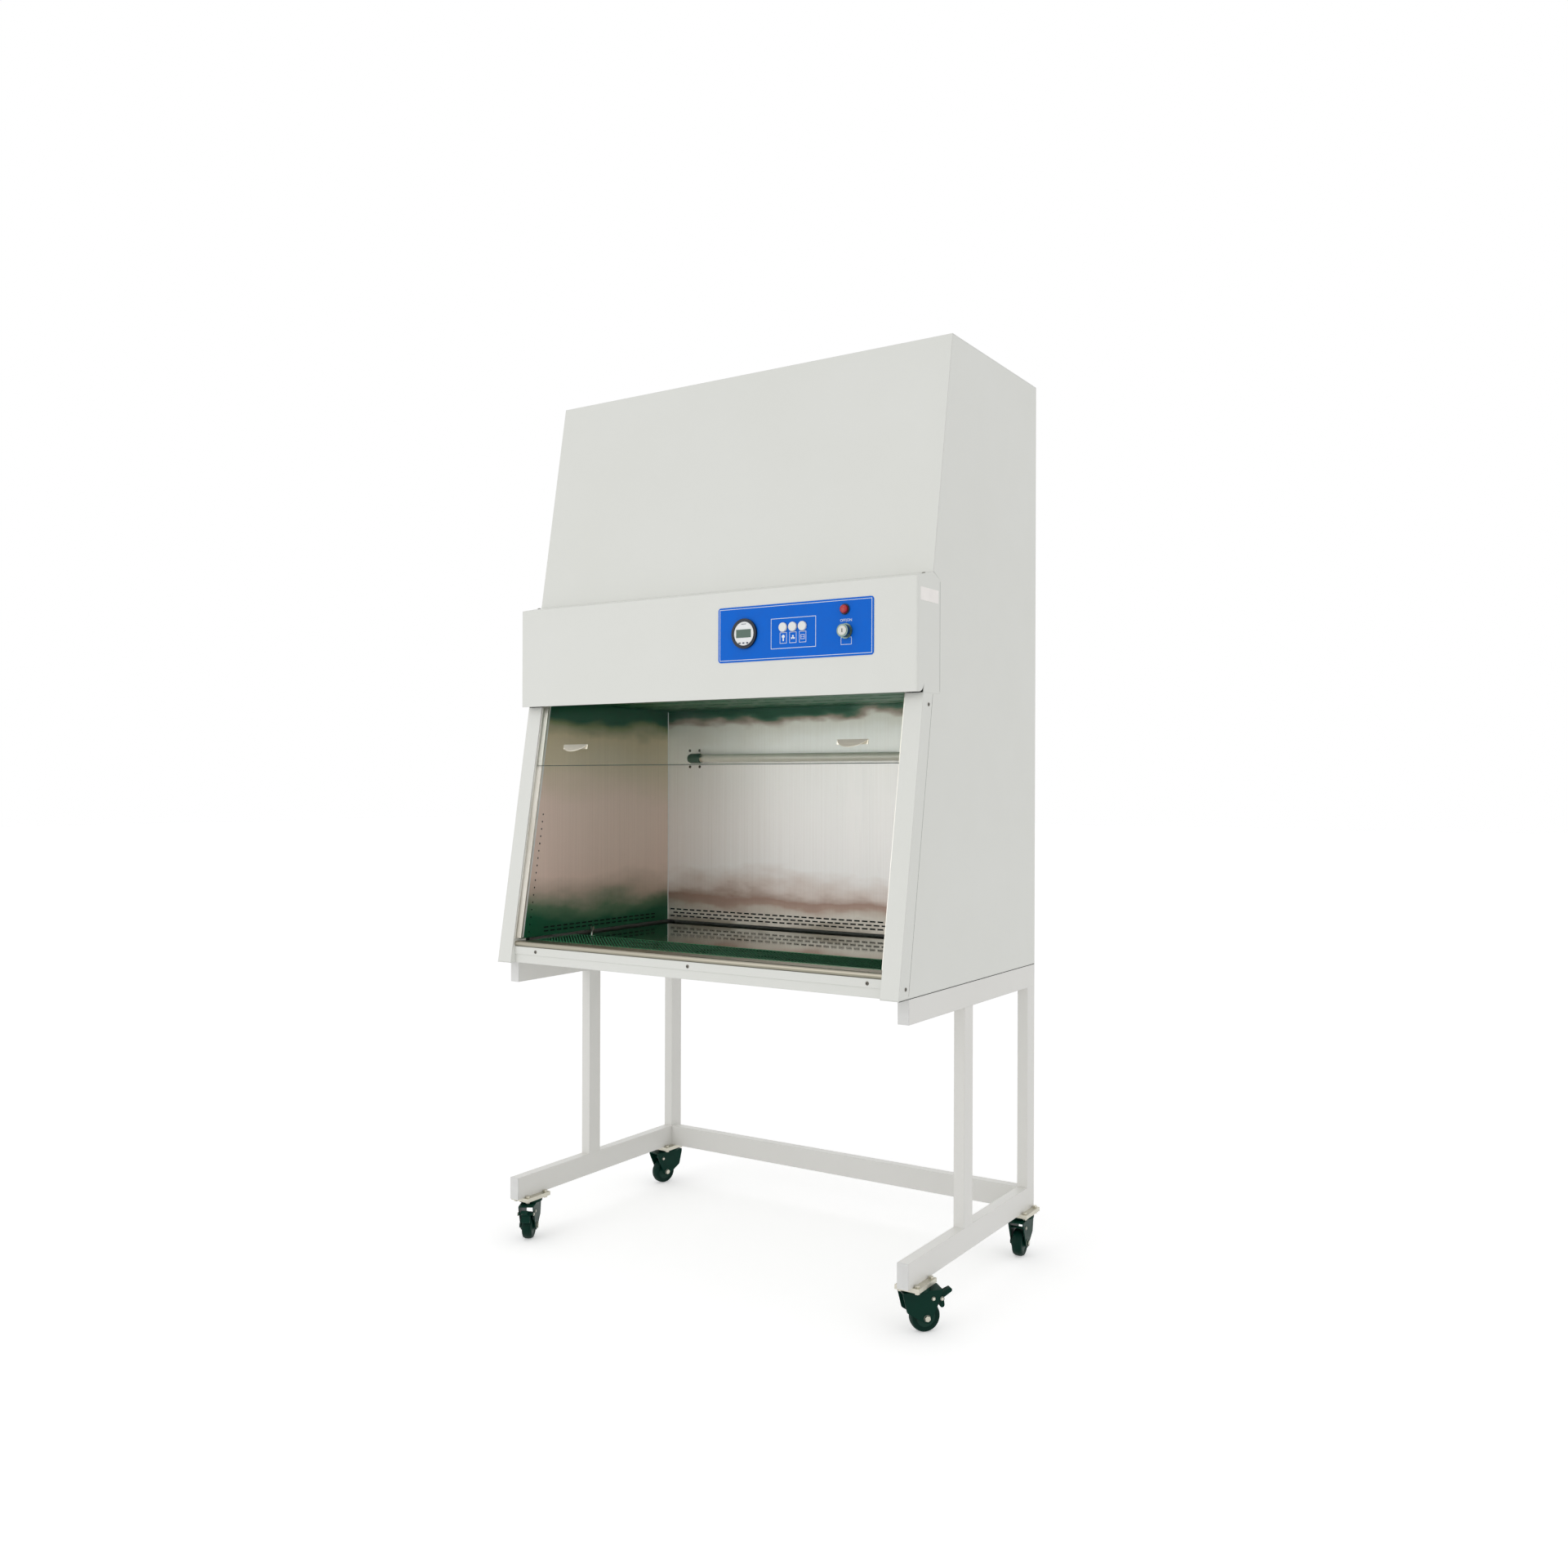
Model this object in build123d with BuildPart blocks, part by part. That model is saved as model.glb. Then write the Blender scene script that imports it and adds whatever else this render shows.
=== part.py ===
from build123d import *
from math import atan, cos, degrees, hypot, radians, sin
import os

# Class II biosafety cabinet on a castor stand.
#
# Frame: millimetres, +X to the right of someone facing the cabinet, +Y towards
# the back, +Z up.  The origin is on the floor under the middle of the cabinet.

os.makedirs("parts", exist_ok=True)

# ---------------------------------------------------------------- cabinet body
width = 1300.0            # across the cabinet
depth = 800.0             # front to back, at the bottom
body_height = 1636.0      # cabinet bottom to roof
front_lean = 271.0        # how far the roof's front edge stands behind the bottom's
sheet = 2.0               # painted steel
liner = 1.5               # stainless steel
corner_round = 5.0        # vertical edges of the control hood

# ------------------------------------------------------------------ control hood
hood_setback = 90.0       # hood front behind the cabinet's bottom front edge
hood_bottom_up = 729.0    # all "_up" sizes are measured from the cabinet bottom
hood_front_up = 1007.0
hood_back_up = 1026.0
hood_reach = 60.0         # the hood's hollow runs this far past the sloping back
hood_nose_round = 30.0
cheek_depth = 206.0       # rear edge of the hood's side cheeks, from the front
cheek_top_up = 1010.0

# --------------------------------------------------------- pillars and sash tracks
pillar_wide = 50.0
pillar_deep = 49.0
track_wide = 34.0         # channel beside the pillar that holds the glass edge
track_lip = 4.0           # pillar face to track front
track_deep = 18.0
track_web = 4.0
track_foot_up = 66.0
track_head_up = 1400.0

# ------------------------------------------------------------------------- sash
glass_thick = 6.0
glass_set = 10.0          # pillar face to glass face, along Y
glass_play = 0.6          # glass face to track lip
glass_end_play = 2.0      # glass edge to track web
glass_tall = 700.0        # along the slope
sash_open_up = 560.0      # lower edge of the glass, as the sash rests
handle_wide = 90.0
handle_off_centre = 458.0
handle_rise = 46.0        # glass lower edge to the fold of the finger pull
handle_sheet = 2.0
handle_flange = 12.0
handle_lip = 30.0
handle_droop = 42.0       # degrees between the lip and the glass

# ------------------------------------------------------------ sill, tray and grille
sill_setback = 18.0       # painted strip behind the cabinet's bottom front edge
strip_low_up = 24.0
strip_top_up = 46.0
strip_thick = 2.0
nose_top_up = 61.0
nose_round = 7.5
nose_proud = 3.0          # nose in front of the strip
deck_up = 58.0            # top of the tray and of the grille
nose_back = 83.0          # rear edge of the nose plate, from the front edge
nose_return = 14.0
grille_deep = 173.0
deck_joint = 2.0          # gaps between nose plate, grille and tray
deck_edge_drop = 22.0     # folded edges of tray and grille
deck_side_play = 7.0
tray_back_play = 6.0
grille_slot_pitch = 22.0  # diagonal slots
grille_slot_wide = 7.0
grille_slot_long = 68.0
grille_slot_rows = 2
grille_row_pitch = 58.0
grille_slot_margin = 36.0
knob_radius = 7.0
knob_height = 22.0
knob_inset = 32.0
basin_side_play = 2.0
basin_front = 24.0        # from the cabinet's front edge
basin_rim_up = 44.0
ledge_wide = 22.0
ledge_thick = 3.0

# ---------------------------------------------------------------------- chamber
back_wall_room = 98.0     # back wall's inner face to the cabinet's back
wall_foot_up = 65.0
ceiling_up = 745.0
slot_long = 20.0
slot_tall = 4.5
slot_pitch = 27.0
slot_row_pitch = 11.0
back_slot_rows = 3
side_slot_rows = 2
slot_first_up = 78.0
side_slot_front = 140.0   # first side slot, from the front edge
side_slot_end = 40.0      # last side slot to the back wall
port_sides = 8
port_radius = 3.0         # column of small suction ports behind the sash
port_count = 17
port_pitch = 21.35
port_first_up = 81.0
port_inset = 58.0         # behind the front slope

# ------------------------------------------------------------------- ceiling lamp
lamp_radius = 13.0
lamp_half = 443.0         # half of the clear tube
lamp_up = 590.0
lamp_stand_off = 24.0     # lamp axis in front of the back wall
holder_long = 52.0
holder_tall = 32.0
holder_grip = 12.0        # tube held inside each holder
holder_round = 8.0
holder_screw_set = 20.0   # middle of the four screws, outboard of the holder's
holder_screw_x = 19.5
holder_screw_z = 26.0
lamp_play = 0.3

# --------------------------------------------------------- filters, plenum, blower
supply_filter_tall = 150.0
filter_half = 585.0
filter_rim = 20.0
filter_sash_room = 26.0   # filter and plenum front behind the front slope
filter_back_room = 7.0    # filter back to the chamber's back wall
plenum_up = 1440.0
exhaust_half = 290.0
exhaust_front = 330.0
exhaust_back_room = 140.0 # exhaust filter to the cabinet's back
exhaust_slot_count = 12
exhaust_slot_wide = 12.0
exhaust_slot_pitch = 22.0
diffuser_slot_long = 74.0
diffuser_slot_wide = 12.0
diffuser_columns = 12
diffuser_rows = 4
diffuser_pitch_x = 94.0
diffuser_pitch_y = 110.0
blower_up = 1190.0
blower_radius = 175.0
blower_thick = 140.0
blower_inlet = 105.0
blower_mouth = 150.0      # outlet width
blower_drop = 240.0       # blower axis to the outlet
impeller_radius = 140.0
impeller_deep = 90.0
blade_count = 16
blade_reach = 42.0
blade_turn = 35.0
motor_radius = 65.0
motor_long = 120.0
shaft_radius = 8.0
shaft_play = 0.08
shaft_in_motor = 90.0

# ----------------------------------------------------------------- control panel
plate_left = 61.0
plate_right = 530.0
plate_low_up = 823.0
plate_high_up = 966.0
plate_thick = 1.5
plate_round = 8.0
timer_x = 146.0
timer_up = 895.5
timer_radius = 39.0
timer_ring = 4.0
timer_deep = 7.0
timer_recess = 2.0
timer_play = 0.1
timer_edge = 1.0
button_first_x = 265.5
button_pitch = 29.3
button_count = 3
button_up = 905.0
button_radius = 12.0
button_play = 0.4
button_proud = 5.0
button_long = 20.0
button_edge = 1.0
indicator_x = 448.3
indicator_up = 938.5
indicator_radius = 10.5
indicator_bezel = 13.5
indicator_proud = 12.0
indicator_rim = 4.0
indicator_dome = 6.0
key_x = 451.0
key_up = 884.5
key_ring_radius = 19.0
key_ring_thick = 3.0
key_collar_radius = 16.0
key_proud = 19.0
key_barrel_radius = 12.0
key_play = 0.08
key_slot_wide = 2.4
key_slot_long = 9.0
key_slot_deep = 6.0
key_lip = 1.0             # barrel face in front of its collar

# -------------------------------------------------------------------- power inlet
inlet_x = -520.0
inlet_up = 120.0
inlet_wide = 32.0
inlet_tall = 24.0
inlet_wall = 2.5
inlet_deep = 24.0         # body behind the back panel
inlet_flange = 8.0
inlet_flange_thick = 2.0
inlet_play = 0.3
inlet_pins = 3
inlet_pin_pitch = 9.0
inlet_pin_wide = 2.0
inlet_pin_tall = 6.0
inlet_pin_long = 14.0

# ---------------------------------------------------------------------- fasteners
screw_radius = 4.5
screw_head = 1.8
sill_screw_span = 538.5   # between sill screws
sill_screw_x = 17.0       # middle sill screw
sill_screw_up = 34.0
pillar_screw_low = 25.0
pillar_screw_high = 701.0
pillar_screw_behind = 31.0
hood_screw_x = 636.0
hood_screw_y = 146.0      # from the cabinet's front edge

# ------------------------------------------------------------------------- stand
stand_height = 688.0      # foot rail underside to cabinet bottom
rail_wide = 30.0
rail_tall = 62.0
tube_wall = 2.5
rail_front = 51.0         # rail front ends, from the cabinet's front edge
post_deep = 48.0
post_front = 351.0
crossbar_thick = 30.0
cap_thick = 3.0

# ----------------------------------------------------------------------- castors
wheel_radius = 37.5
wheel_wide = 30.0
hub_radius = 21.0
hub_wide = 33.0
tyre_shoulder = 7.0
castor_height = 116.0     # floor to the top of the castor's own plate
pad_thick = 6.0           # pad welded under the foot rail
plate_long = 92.0
plate_wide = 66.0
plate_thick_castor = 5.0
bolt_span_long = 70.0
bolt_span_wide = 46.0
bolt_radius = 4.0
bolt_play = 0.2
bolt_head = 6.5
bolt_head_thick = 5.0
bolt_sides = 6
trail = 22.0              # wheel axle behind the swivel axis
crown_radius = 33.0
crown_thick = 7.5
fork_top = 103.0
fork_sheet = 3.0
fork_lead = 39.0          # fork's leading edge, ahead of the swivel axis
fork_tail = 62.0
fork_band = 7.0           # depth of the fork's straight upper band
fork_shoulder_x = -22.0   # fork's leading shoulder
fork_shoulder_z = 60.0
fork_shoulder_round = 8.0
fork_boss = 13.0
cheek_gap = 38.0          # between the fork's cheeks
axle_radius = 5.0
axle_head = 8.0
axle_head_thick = 4.5
axle_play = 0.08
kingpin_radius = 7.0
kingpin_head = 12.0
kingpin_head_thick = 3.0
kingpin_play = 0.08
swivel_gap = 0.4
rivet_x = 38.0            # cross rivet between the fork's cheeks
rivet_z = 83.0
rivet_radius = 3.0
rivet_head = 5.0
rivet_head_thick = 2.0
pedal_x = 60.0            # pedal pivot behind the swivel axis
pedal_z = 81.0
pedal_pin = 4.0
pedal_pin_play = 0.08
pedal_wall = 3.5          # pedal material round its pin
pedal_tip = 91.0
pedal_tip_z = 94.0
pedal_tip_round = 5.0
pedal_wide = 24.0
pedal_pad_wide = 16.0
shoe_x = 64.0
shoe_z = 62.0
shoe_round = 6.0
front_castor_y = 118.0    # castor centres, from the cabinet's front edge
rear_castor_room = 46.0   # rear castor centres to the cabinet's back

# ------------------------------------------------------------- derived positions
foot_z = castor_height + pad_thick
cabinet_z = foot_z + stand_height
roof_z = cabinet_z + body_height
front_y = -depth / 2
back_y = depth / 2
half = width / 2
chamber_back = depth - back_wall_room
exhaust_back = depth - exhaust_back_room
rear_castor_y = depth - rear_castor_room
lean = front_lean / body_height
lean_angle = degrees(atan(lean))
skin_y = sheet / cos(radians(lean_angle))     # sheet thickness seen along Y
glass_y = glass_thick / cos(radians(lean_angle))
chamber_half = half - pillar_wide             # inner faces of the pillars
slot_count_back = int(2 * chamber_half / slot_pitch)
slot_count_side = int((chamber_back - side_slot_front - side_slot_end) / slot_pitch)
tray_half = chamber_half - liner - deck_side_play


def up(size):
    """Height above the floor of a size measured from the cabinet bottom."""
    return cabinet_z + size


def inward(size):
    """Y of a size measured from the cabinet's bottom front edge."""
    return front_y + size


def slope_y(z, set_back=0.0):
    """Y of the sloping front at height z, moved back by set_back."""
    return front_y + (z - cabinet_z) * lean + set_back


def slope_strip(z0, z1, near, far):
    """Corner points (y, z) of a strip that follows the sloping front."""
    return [
        (slope_y(z0, near), z0),
        (slope_y(z0, far), z0),
        (slope_y(z1, far), z1),
        (slope_y(z1, near), z1),
    ]


def front_plane(y):
    """Upright plane at depth y that faces the user; extrude(+) comes forward."""
    return Plane.XZ.offset(-y)


hood_bottom = up(hood_bottom_up)
hood_front = up(hood_front_up)
hood_back = up(hood_back_up)
hood_y = inward(hood_setback)
cheek_y = inward(cheek_depth)
cheek_top = up(cheek_top_up)
ceiling_z = up(ceiling_up)
wall_foot = up(wall_foot_up)
deck_z = up(deck_up)
deck_low = deck_z - deck_edge_drop
chamber_y = inward(chamber_back)
track_back = track_lip + track_deep
pan_lip_y = inward(sill_setback + strip_thick)
slope_plane = Plane(
    origin=(0, front_y, cabinet_z),
    x_dir=(1, 0, 0),
    z_dir=(0, -cos(radians(lean_angle)), sin(radians(lean_angle))),
)
sides = ((-1, "left"), (1, "right"))


# =================================================================== cabinet shell
# Side panels: flat sheets with a notch at the front for the hood's cheeks.
for side, tag in sides:
    with BuildPart() as side_panel:
        with BuildSketch(Plane.YZ.offset(side * half)):
            with BuildLine():
                Polyline(
                    (slope_y(cabinet_z + sheet, pillar_deep), cabinet_z + sheet),
                    (slope_y(hood_bottom, pillar_deep), hood_bottom),
                    (cheek_y, hood_bottom),
                    (cheek_y, cheek_top),
                    (slope_y(hood_back, skin_y), hood_back),
                    (slope_y(roof_z - sheet, skin_y), roof_z - sheet),
                    (back_y - sheet, roof_z - sheet),
                    (back_y - sheet, cabinet_z + sheet),
                    close=True,
                )
            make_face()
        extrude(amount=-side * sheet)
    side_panel.part.label = f"side_panel_{tag}"
    export_step(side_panel.part, f"parts/side_panel_{tag}.step")

# Back panel: one sheet from the cabinet bottom to the roof.
with BuildPart() as back_panel:
    with BuildSketch(front_plane(back_y)):
        with Locations((0, (cabinet_z + roof_z) / 2)):
            Rectangle(width, body_height)
        with Locations((inlet_x, up(inlet_up))):
            Rectangle(
                inlet_wide + 2 * inlet_play, inlet_tall + 2 * inlet_play, mode=Mode.SUBTRACT
            )
    extrude(amount=sheet)
back_panel.part.label = "back_panel"
export_step(back_panel.part, "parts/back_panel.step")

# Roof, with the opening above the exhaust filter.
roof_front = slope_y(roof_z, skin_y)
with BuildPart() as top_panel:
    with BuildSketch(Plane.XY.offset(roof_z)):
        with Locations((0, roof_front)):
            Rectangle(width, back_y - sheet - roof_front, align=(Align.CENTER, Align.MIN))
        with Locations((0, inward(exhaust_front + filter_rim))):
            Rectangle(
                2 * (exhaust_half - filter_rim),
                exhaust_back - exhaust_front - 2 * filter_rim,
                align=(Align.CENTER, Align.MIN),
                mode=Mode.SUBTRACT,
            )
    extrude(amount=-sheet)
top_panel.part.label = "top_panel"
export_step(top_panel.part, "parts/top_panel.step")

# Bottom pan, set back between the pillars, with an upright lip for the sill.
with BuildPart() as bottom_pan:
    with BuildSketch(Plane.XY.offset(cabinet_z)):
        with Locations((0, front_y)):
            Rectangle(width, depth - sheet, align=(Align.CENTER, Align.MIN))
            Rectangle(
                2 * chamber_half,
                sill_setback + strip_thick,
                align=(Align.CENTER, Align.MIN),
                mode=Mode.SUBTRACT,
            )
    extrude(amount=sheet)
    with BuildSketch(front_plane(pan_lip_y)):
        with Locations((0, cabinet_z + sheet)):
            Rectangle(
                2 * chamber_half, strip_top_up - sheet, align=(Align.CENTER, Align.MIN)
            )
    extrude(amount=-sheet)
bottom_pan.part.label = "bottom_pan"
export_step(bottom_pan.part, "parts/bottom_pan.step")

# Sloping front panel above the hood.
with BuildPart() as upper_front_panel:
    with BuildSketch(Plane.YZ.offset(-half)):
        with BuildLine():
            Polyline(*slope_strip(hood_back, roof_z, 0, skin_y), close=True)
        make_face()
    extrude(amount=width)
upper_front_panel.part.label = "upper_front_panel"
export_step(upper_front_panel.part, "parts/upper_front_panel.step")

# Control hood: a folded box, open at the back, with a rounded lower front edge
# and cheeks that reach back along the side panels.
hood_rise = (hood_back - hood_front) / (slope_y(hood_back) - hood_y)
hollow_back = slope_y(hood_back) + hood_reach
hollow_top = hood_front - sheet * hypot(1, hood_rise)
with BuildPart() as control_hood:
    with BuildSketch(Plane.YZ.offset(-half)) as hood_outline:
        with BuildLine():
            Polyline(
                (hood_y, hood_bottom),
                (hood_y, hood_front),
                (slope_y(hood_back), hood_back),
                (slope_y(hood_bottom), hood_bottom),
                close=True,
            )
        make_face()
        fillet(hood_outline.vertices().group_by(Axis.Z)[0].sort_by(Axis.Y)[0], hood_nose_round)
    extrude(amount=width)
    fillet(
        control_hood.edges().filter_by(Axis.Z).group_by(Axis.Y)[0],
        corner_round,
    )
    with BuildSketch(Plane.YZ.offset(-half + sheet)) as hood_hollow:
        with BuildLine():
            Polyline(
                (hood_y + sheet, hood_bottom + sheet),
                (hood_y + sheet, hollow_top + hood_rise * sheet),
                (hollow_back, hollow_top + hood_rise * (hollow_back - hood_y)),
                (hollow_back, hood_bottom + sheet),
                close=True,
            )
        make_face()
        fillet(
            hood_hollow.vertices().group_by(Axis.Z)[0].sort_by(Axis.Y)[0],
            hood_nose_round - sheet,
        )
    extrude(amount=width - 2 * sheet, mode=Mode.SUBTRACT)
    for side, tag in sides:
        with BuildSketch(Plane.YZ.offset(side * half)):
            with BuildLine():
                Polyline(
                    (slope_y(hood_bottom), hood_bottom),
                    (cheek_y, hood_bottom),
                    (cheek_y, cheek_top),
                    (slope_y(hood_back), hood_back),
                    close=True,
                )
            make_face()
        extrude(amount=-side * sheet)
    with BuildSketch(front_plane(hood_y)):
        for number in range(button_count):
            with Locations((button_first_x + number * button_pitch, up(button_up))):
                Circle(button_radius + button_play)
    extrude(amount=-sheet, mode=Mode.SUBTRACT)
control_hood.part.label = "control_hood"
export_step(control_hood.part, "parts/control_hood.step")


# ================================================================ front opening
# Pillars: folded corner posts, parallel to the sloping front.
# Sash tracks: channels beside the pillars, open towards the glass.
for side, tag in sides:
    with BuildPart() as pillar:
        with BuildSketch(Plane.YZ.offset(side * half)):
            with BuildLine():
                Polyline(
                    *slope_strip(cabinet_z + sheet, hood_bottom, 0, pillar_deep), close=True
                )
            make_face()
        extrude(amount=-side * pillar_wide)
        with BuildSketch(Plane.YZ.offset(side * (half - sheet))):
            with BuildLine():
                Polyline(
                    *slope_strip(cabinet_z + sheet, hood_bottom, skin_y, pillar_deep),
                    close=True,
                )
            make_face()
        extrude(amount=-side * (pillar_wide - 2 * sheet), mode=Mode.SUBTRACT)
    pillar.part.label = f"pillar_{tag}"
    export_step(pillar.part, f"parts/pillar_{tag}.step")

    with BuildPart() as sash_track:
        with BuildSketch(Plane.YZ.offset(side * chamber_half)):
            with BuildLine():
                Polyline(
                    *slope_strip(up(track_foot_up), up(track_head_up), track_lip, track_back),
                    close=True,
                )
            make_face()
        extrude(amount=-side * track_wide)
        with BuildSketch(Plane.YZ.offset(side * (chamber_half - track_web))):
            with BuildLine():
                Polyline(
                    *slope_strip(
                        up(track_foot_up),
                        up(track_head_up),
                        glass_set - glass_play,
                        glass_set + glass_y + glass_play,
                    ),
                    close=True,
                )
            make_face()
        extrude(amount=-side * (track_wide - track_web), mode=Mode.SUBTRACT)
    sash_track.part.label = f"sash_track_{tag}"
    export_step(sash_track.part, f"parts/sash_track_{tag}.step")

# Sash: one sheet of glass that slides along the slope.
glass_half = chamber_half - track_web - glass_end_play
glass_foot = sash_open_up / cos(radians(lean_angle)) + glass_set * sin(radians(lean_angle))
glass_front = slope_plane.offset(-glass_set * cos(radians(lean_angle)))
with BuildPart() as sash_glass:
    with BuildSketch(glass_front):
        with Locations((0, glass_foot)):
            Rectangle(2 * glass_half, glass_tall, align=(Align.CENTER, Align.MIN))
    extrude(amount=-glass_thick)
sash_glass.part.label = "sash_glass"
export_step(sash_glass.part, "parts/sash_glass.step")

# Finger pulls: a flange on the glass and a half-moon lip folded out and down.
flange_up = glass_foot + handle_rise
fold_up = flange_up + handle_flange
lip_tilt = radians(lean_angle + handle_droop)
with BuildPart() as sash_handles:
    for side, tag in sides:
        with BuildSketch(glass_front):
            with Locations((side * handle_off_centre, flange_up)):
                Rectangle(handle_wide, handle_flange, align=(Align.CENTER, Align.MIN))
        extrude(amount=handle_sheet)
        lip_plane = Plane(
            origin=glass_front.from_local_coords((side * handle_off_centre, fold_up, 0)),
            x_dir=(1, 0, 0),
            z_dir=(0, -cos(lip_tilt), sin(lip_tilt)),
        )
        with BuildSketch(lip_plane):
            with BuildLine():
                Line((-handle_wide / 2, 0), (handle_wide / 2, 0))
                ThreePointArc(
                    (handle_wide / 2, 0), (0, -handle_lip), (-handle_wide / 2, 0)
                )
            make_face()
        extrude(amount=handle_sheet)
sash_handles.part.label = "sash_handles"
export_step(sash_handles.part, "parts/sash_handles.step")

# Painted strip across the bottom of the opening.
with BuildPart() as sill_strip:
    with BuildSketch(front_plane(pan_lip_y)):
        with Locations((0, up(strip_low_up))):
            Rectangle(
                2 * chamber_half,
                strip_top_up - strip_low_up,
                align=(Align.CENTER, Align.MIN),
            )
    extrude(amount=strip_thick)
sill_strip.part.label = "sill_strip"
export_step(sill_strip.part, "parts/sill_strip.step")

# Stainless armrest: a plate with a rolled front nose.
nose_y = inward(sill_setback - nose_proud + nose_round)
nose_z = up(nose_top_up - nose_round)
nose_hollow = nose_round - liner
with BuildPart() as sill_nose:
    with BuildSketch(Plane.YZ.offset(-chamber_half)):
        with BuildLine():
            Line((inward(nose_back), deck_z), (nose_y, nose_z + nose_round))
            ThreePointArc(
                (nose_y, nose_z + nose_round),
                (nose_y - nose_round, nose_z),
                (nose_y, nose_z - nose_round),
            )
            Polyline(
                (nose_y, nose_z - nose_round),
                (nose_y + nose_return, nose_z - nose_round),
                (nose_y + nose_return, nose_z - nose_hollow),
                (nose_y, nose_z - nose_hollow),
            )
            ThreePointArc(
                (nose_y, nose_z - nose_hollow),
                (nose_y - nose_hollow, nose_z),
                (nose_y, nose_z + nose_hollow),
            )
            Polyline(
                (nose_y, nose_z + nose_hollow),
                (inward(nose_back), deck_z - liner),
                (inward(nose_back), deck_z),
            )
        make_face()
    extrude(amount=2 * chamber_half)
sill_nose.part.label = "sill_nose"
export_step(sill_nose.part, "parts/sill_nose.step")

# Front grille: a folded cover with diagonal slots.
grille_front = inward(nose_back + deck_joint)
grille_back = grille_front + grille_deep
with BuildPart() as front_grille:
    with BuildSketch(Plane.XY.offset(deck_low)):
        with Locations((0, grille_front)):
            Rectangle(2 * tray_half, grille_deep, align=(Align.CENTER, Align.MIN))
    extrude(amount=deck_edge_drop)
    with BuildSketch(Plane.XY.offset(deck_low)):
        with Locations((0, grille_front + liner)):
            Rectangle(
                2 * (tray_half - liner),
                grille_deep - 2 * liner,
                align=(Align.CENTER, Align.MIN),
            )
    extrude(amount=deck_edge_drop - liner, mode=Mode.SUBTRACT)
    slot_run = 2 * tray_half - 2 * grille_slot_margin
    slot_columns = int(slot_run / grille_slot_pitch)
    with BuildSketch(Plane.XY.offset(deck_z)):
        with Locations((0, grille_front + grille_deep / 2)):
            with GridLocations(
                grille_slot_pitch, grille_row_pitch, slot_columns, grille_slot_rows
            ):
                Rectangle(grille_slot_long, grille_slot_wide, rotation=-45)
    extrude(amount=-liner, mode=Mode.SUBTRACT)
front_grille.part.label = "front_grille"
export_step(front_grille.part, "parts/front_grille.step")

# Work tray: a folded cover with two lift knobs; it lifts straight up.
tray_front = grille_back + deck_joint
tray_back = chamber_y - tray_back_play
knob_stem = knob_radius / 2
with BuildPart() as work_tray:
    with BuildSketch(Plane.XY.offset(deck_low)):
        with Locations((0, tray_front)):
            Rectangle(
                2 * tray_half, tray_back - tray_front, align=(Align.CENTER, Align.MIN)
            )
    extrude(amount=deck_edge_drop)
    with BuildSketch(Plane.XY.offset(deck_low)):
        with Locations((0, tray_front + liner)):
            Rectangle(
                2 * (tray_half - liner),
                tray_back - tray_front - 2 * liner,
                align=(Align.CENTER, Align.MIN),
            )
    extrude(amount=deck_edge_drop - liner, mode=Mode.SUBTRACT)
    with BuildSketch(Plane.XY.offset(deck_z)):
        with Locations((0, tray_front + knob_inset)):
            with GridLocations(2 * (tray_half - knob_inset), 1, 2, 1):
                Circle(knob_stem)
    extrude(amount=knob_height / 2)
    with BuildSketch(Plane.XY.offset(deck_z + knob_height / 2)):
        with Locations((0, tray_front + knob_inset)):
            with GridLocations(2 * (tray_half - knob_inset), 1, 2, 1):
                Circle(knob_radius)
    extrude(amount=knob_height / 2)
work_tray.part.label = "work_tray"
export_step(work_tray.part, "parts/work_tray.step")

# Drain basin under the tray, with ledges that carry the tray and the grille.
basin_half = chamber_half - basin_side_play
basin_y = inward(basin_front)
basin_deep = chamber_y - basin_y
basin_floor = cabinet_z + sheet
with BuildPart() as drain_basin:
    with BuildSketch(Plane.XY.offset(basin_floor)):
        with Locations((0, basin_y)):
            Rectangle(2 * basin_half, basin_deep, align=(Align.CENTER, Align.MIN))
    extrude(amount=basin_rim_up - sheet)
    with BuildSketch(Plane.XY.offset(basin_floor + liner)):
        with Locations((0, basin_y + liner)):
            Rectangle(
                2 * (basin_half - liner),
                basin_deep - 2 * liner,
                align=(Align.CENTER, Align.MIN),
            )
    extrude(amount=basin_rim_up, mode=Mode.SUBTRACT)
    with BuildSketch(Plane.XY.offset(deck_low)):
        with Locations((0, basin_y)):
            with GridLocations(2 * basin_half - ledge_wide, 1, 2, 1):
                Rectangle(ledge_wide, basin_deep, align=(Align.CENTER, Align.MIN))
    extrude(amount=-ledge_thick)
drain_basin.part.label = "drain_basin"
export_step(drain_basin.part, "parts/drain_basin.step")


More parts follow.
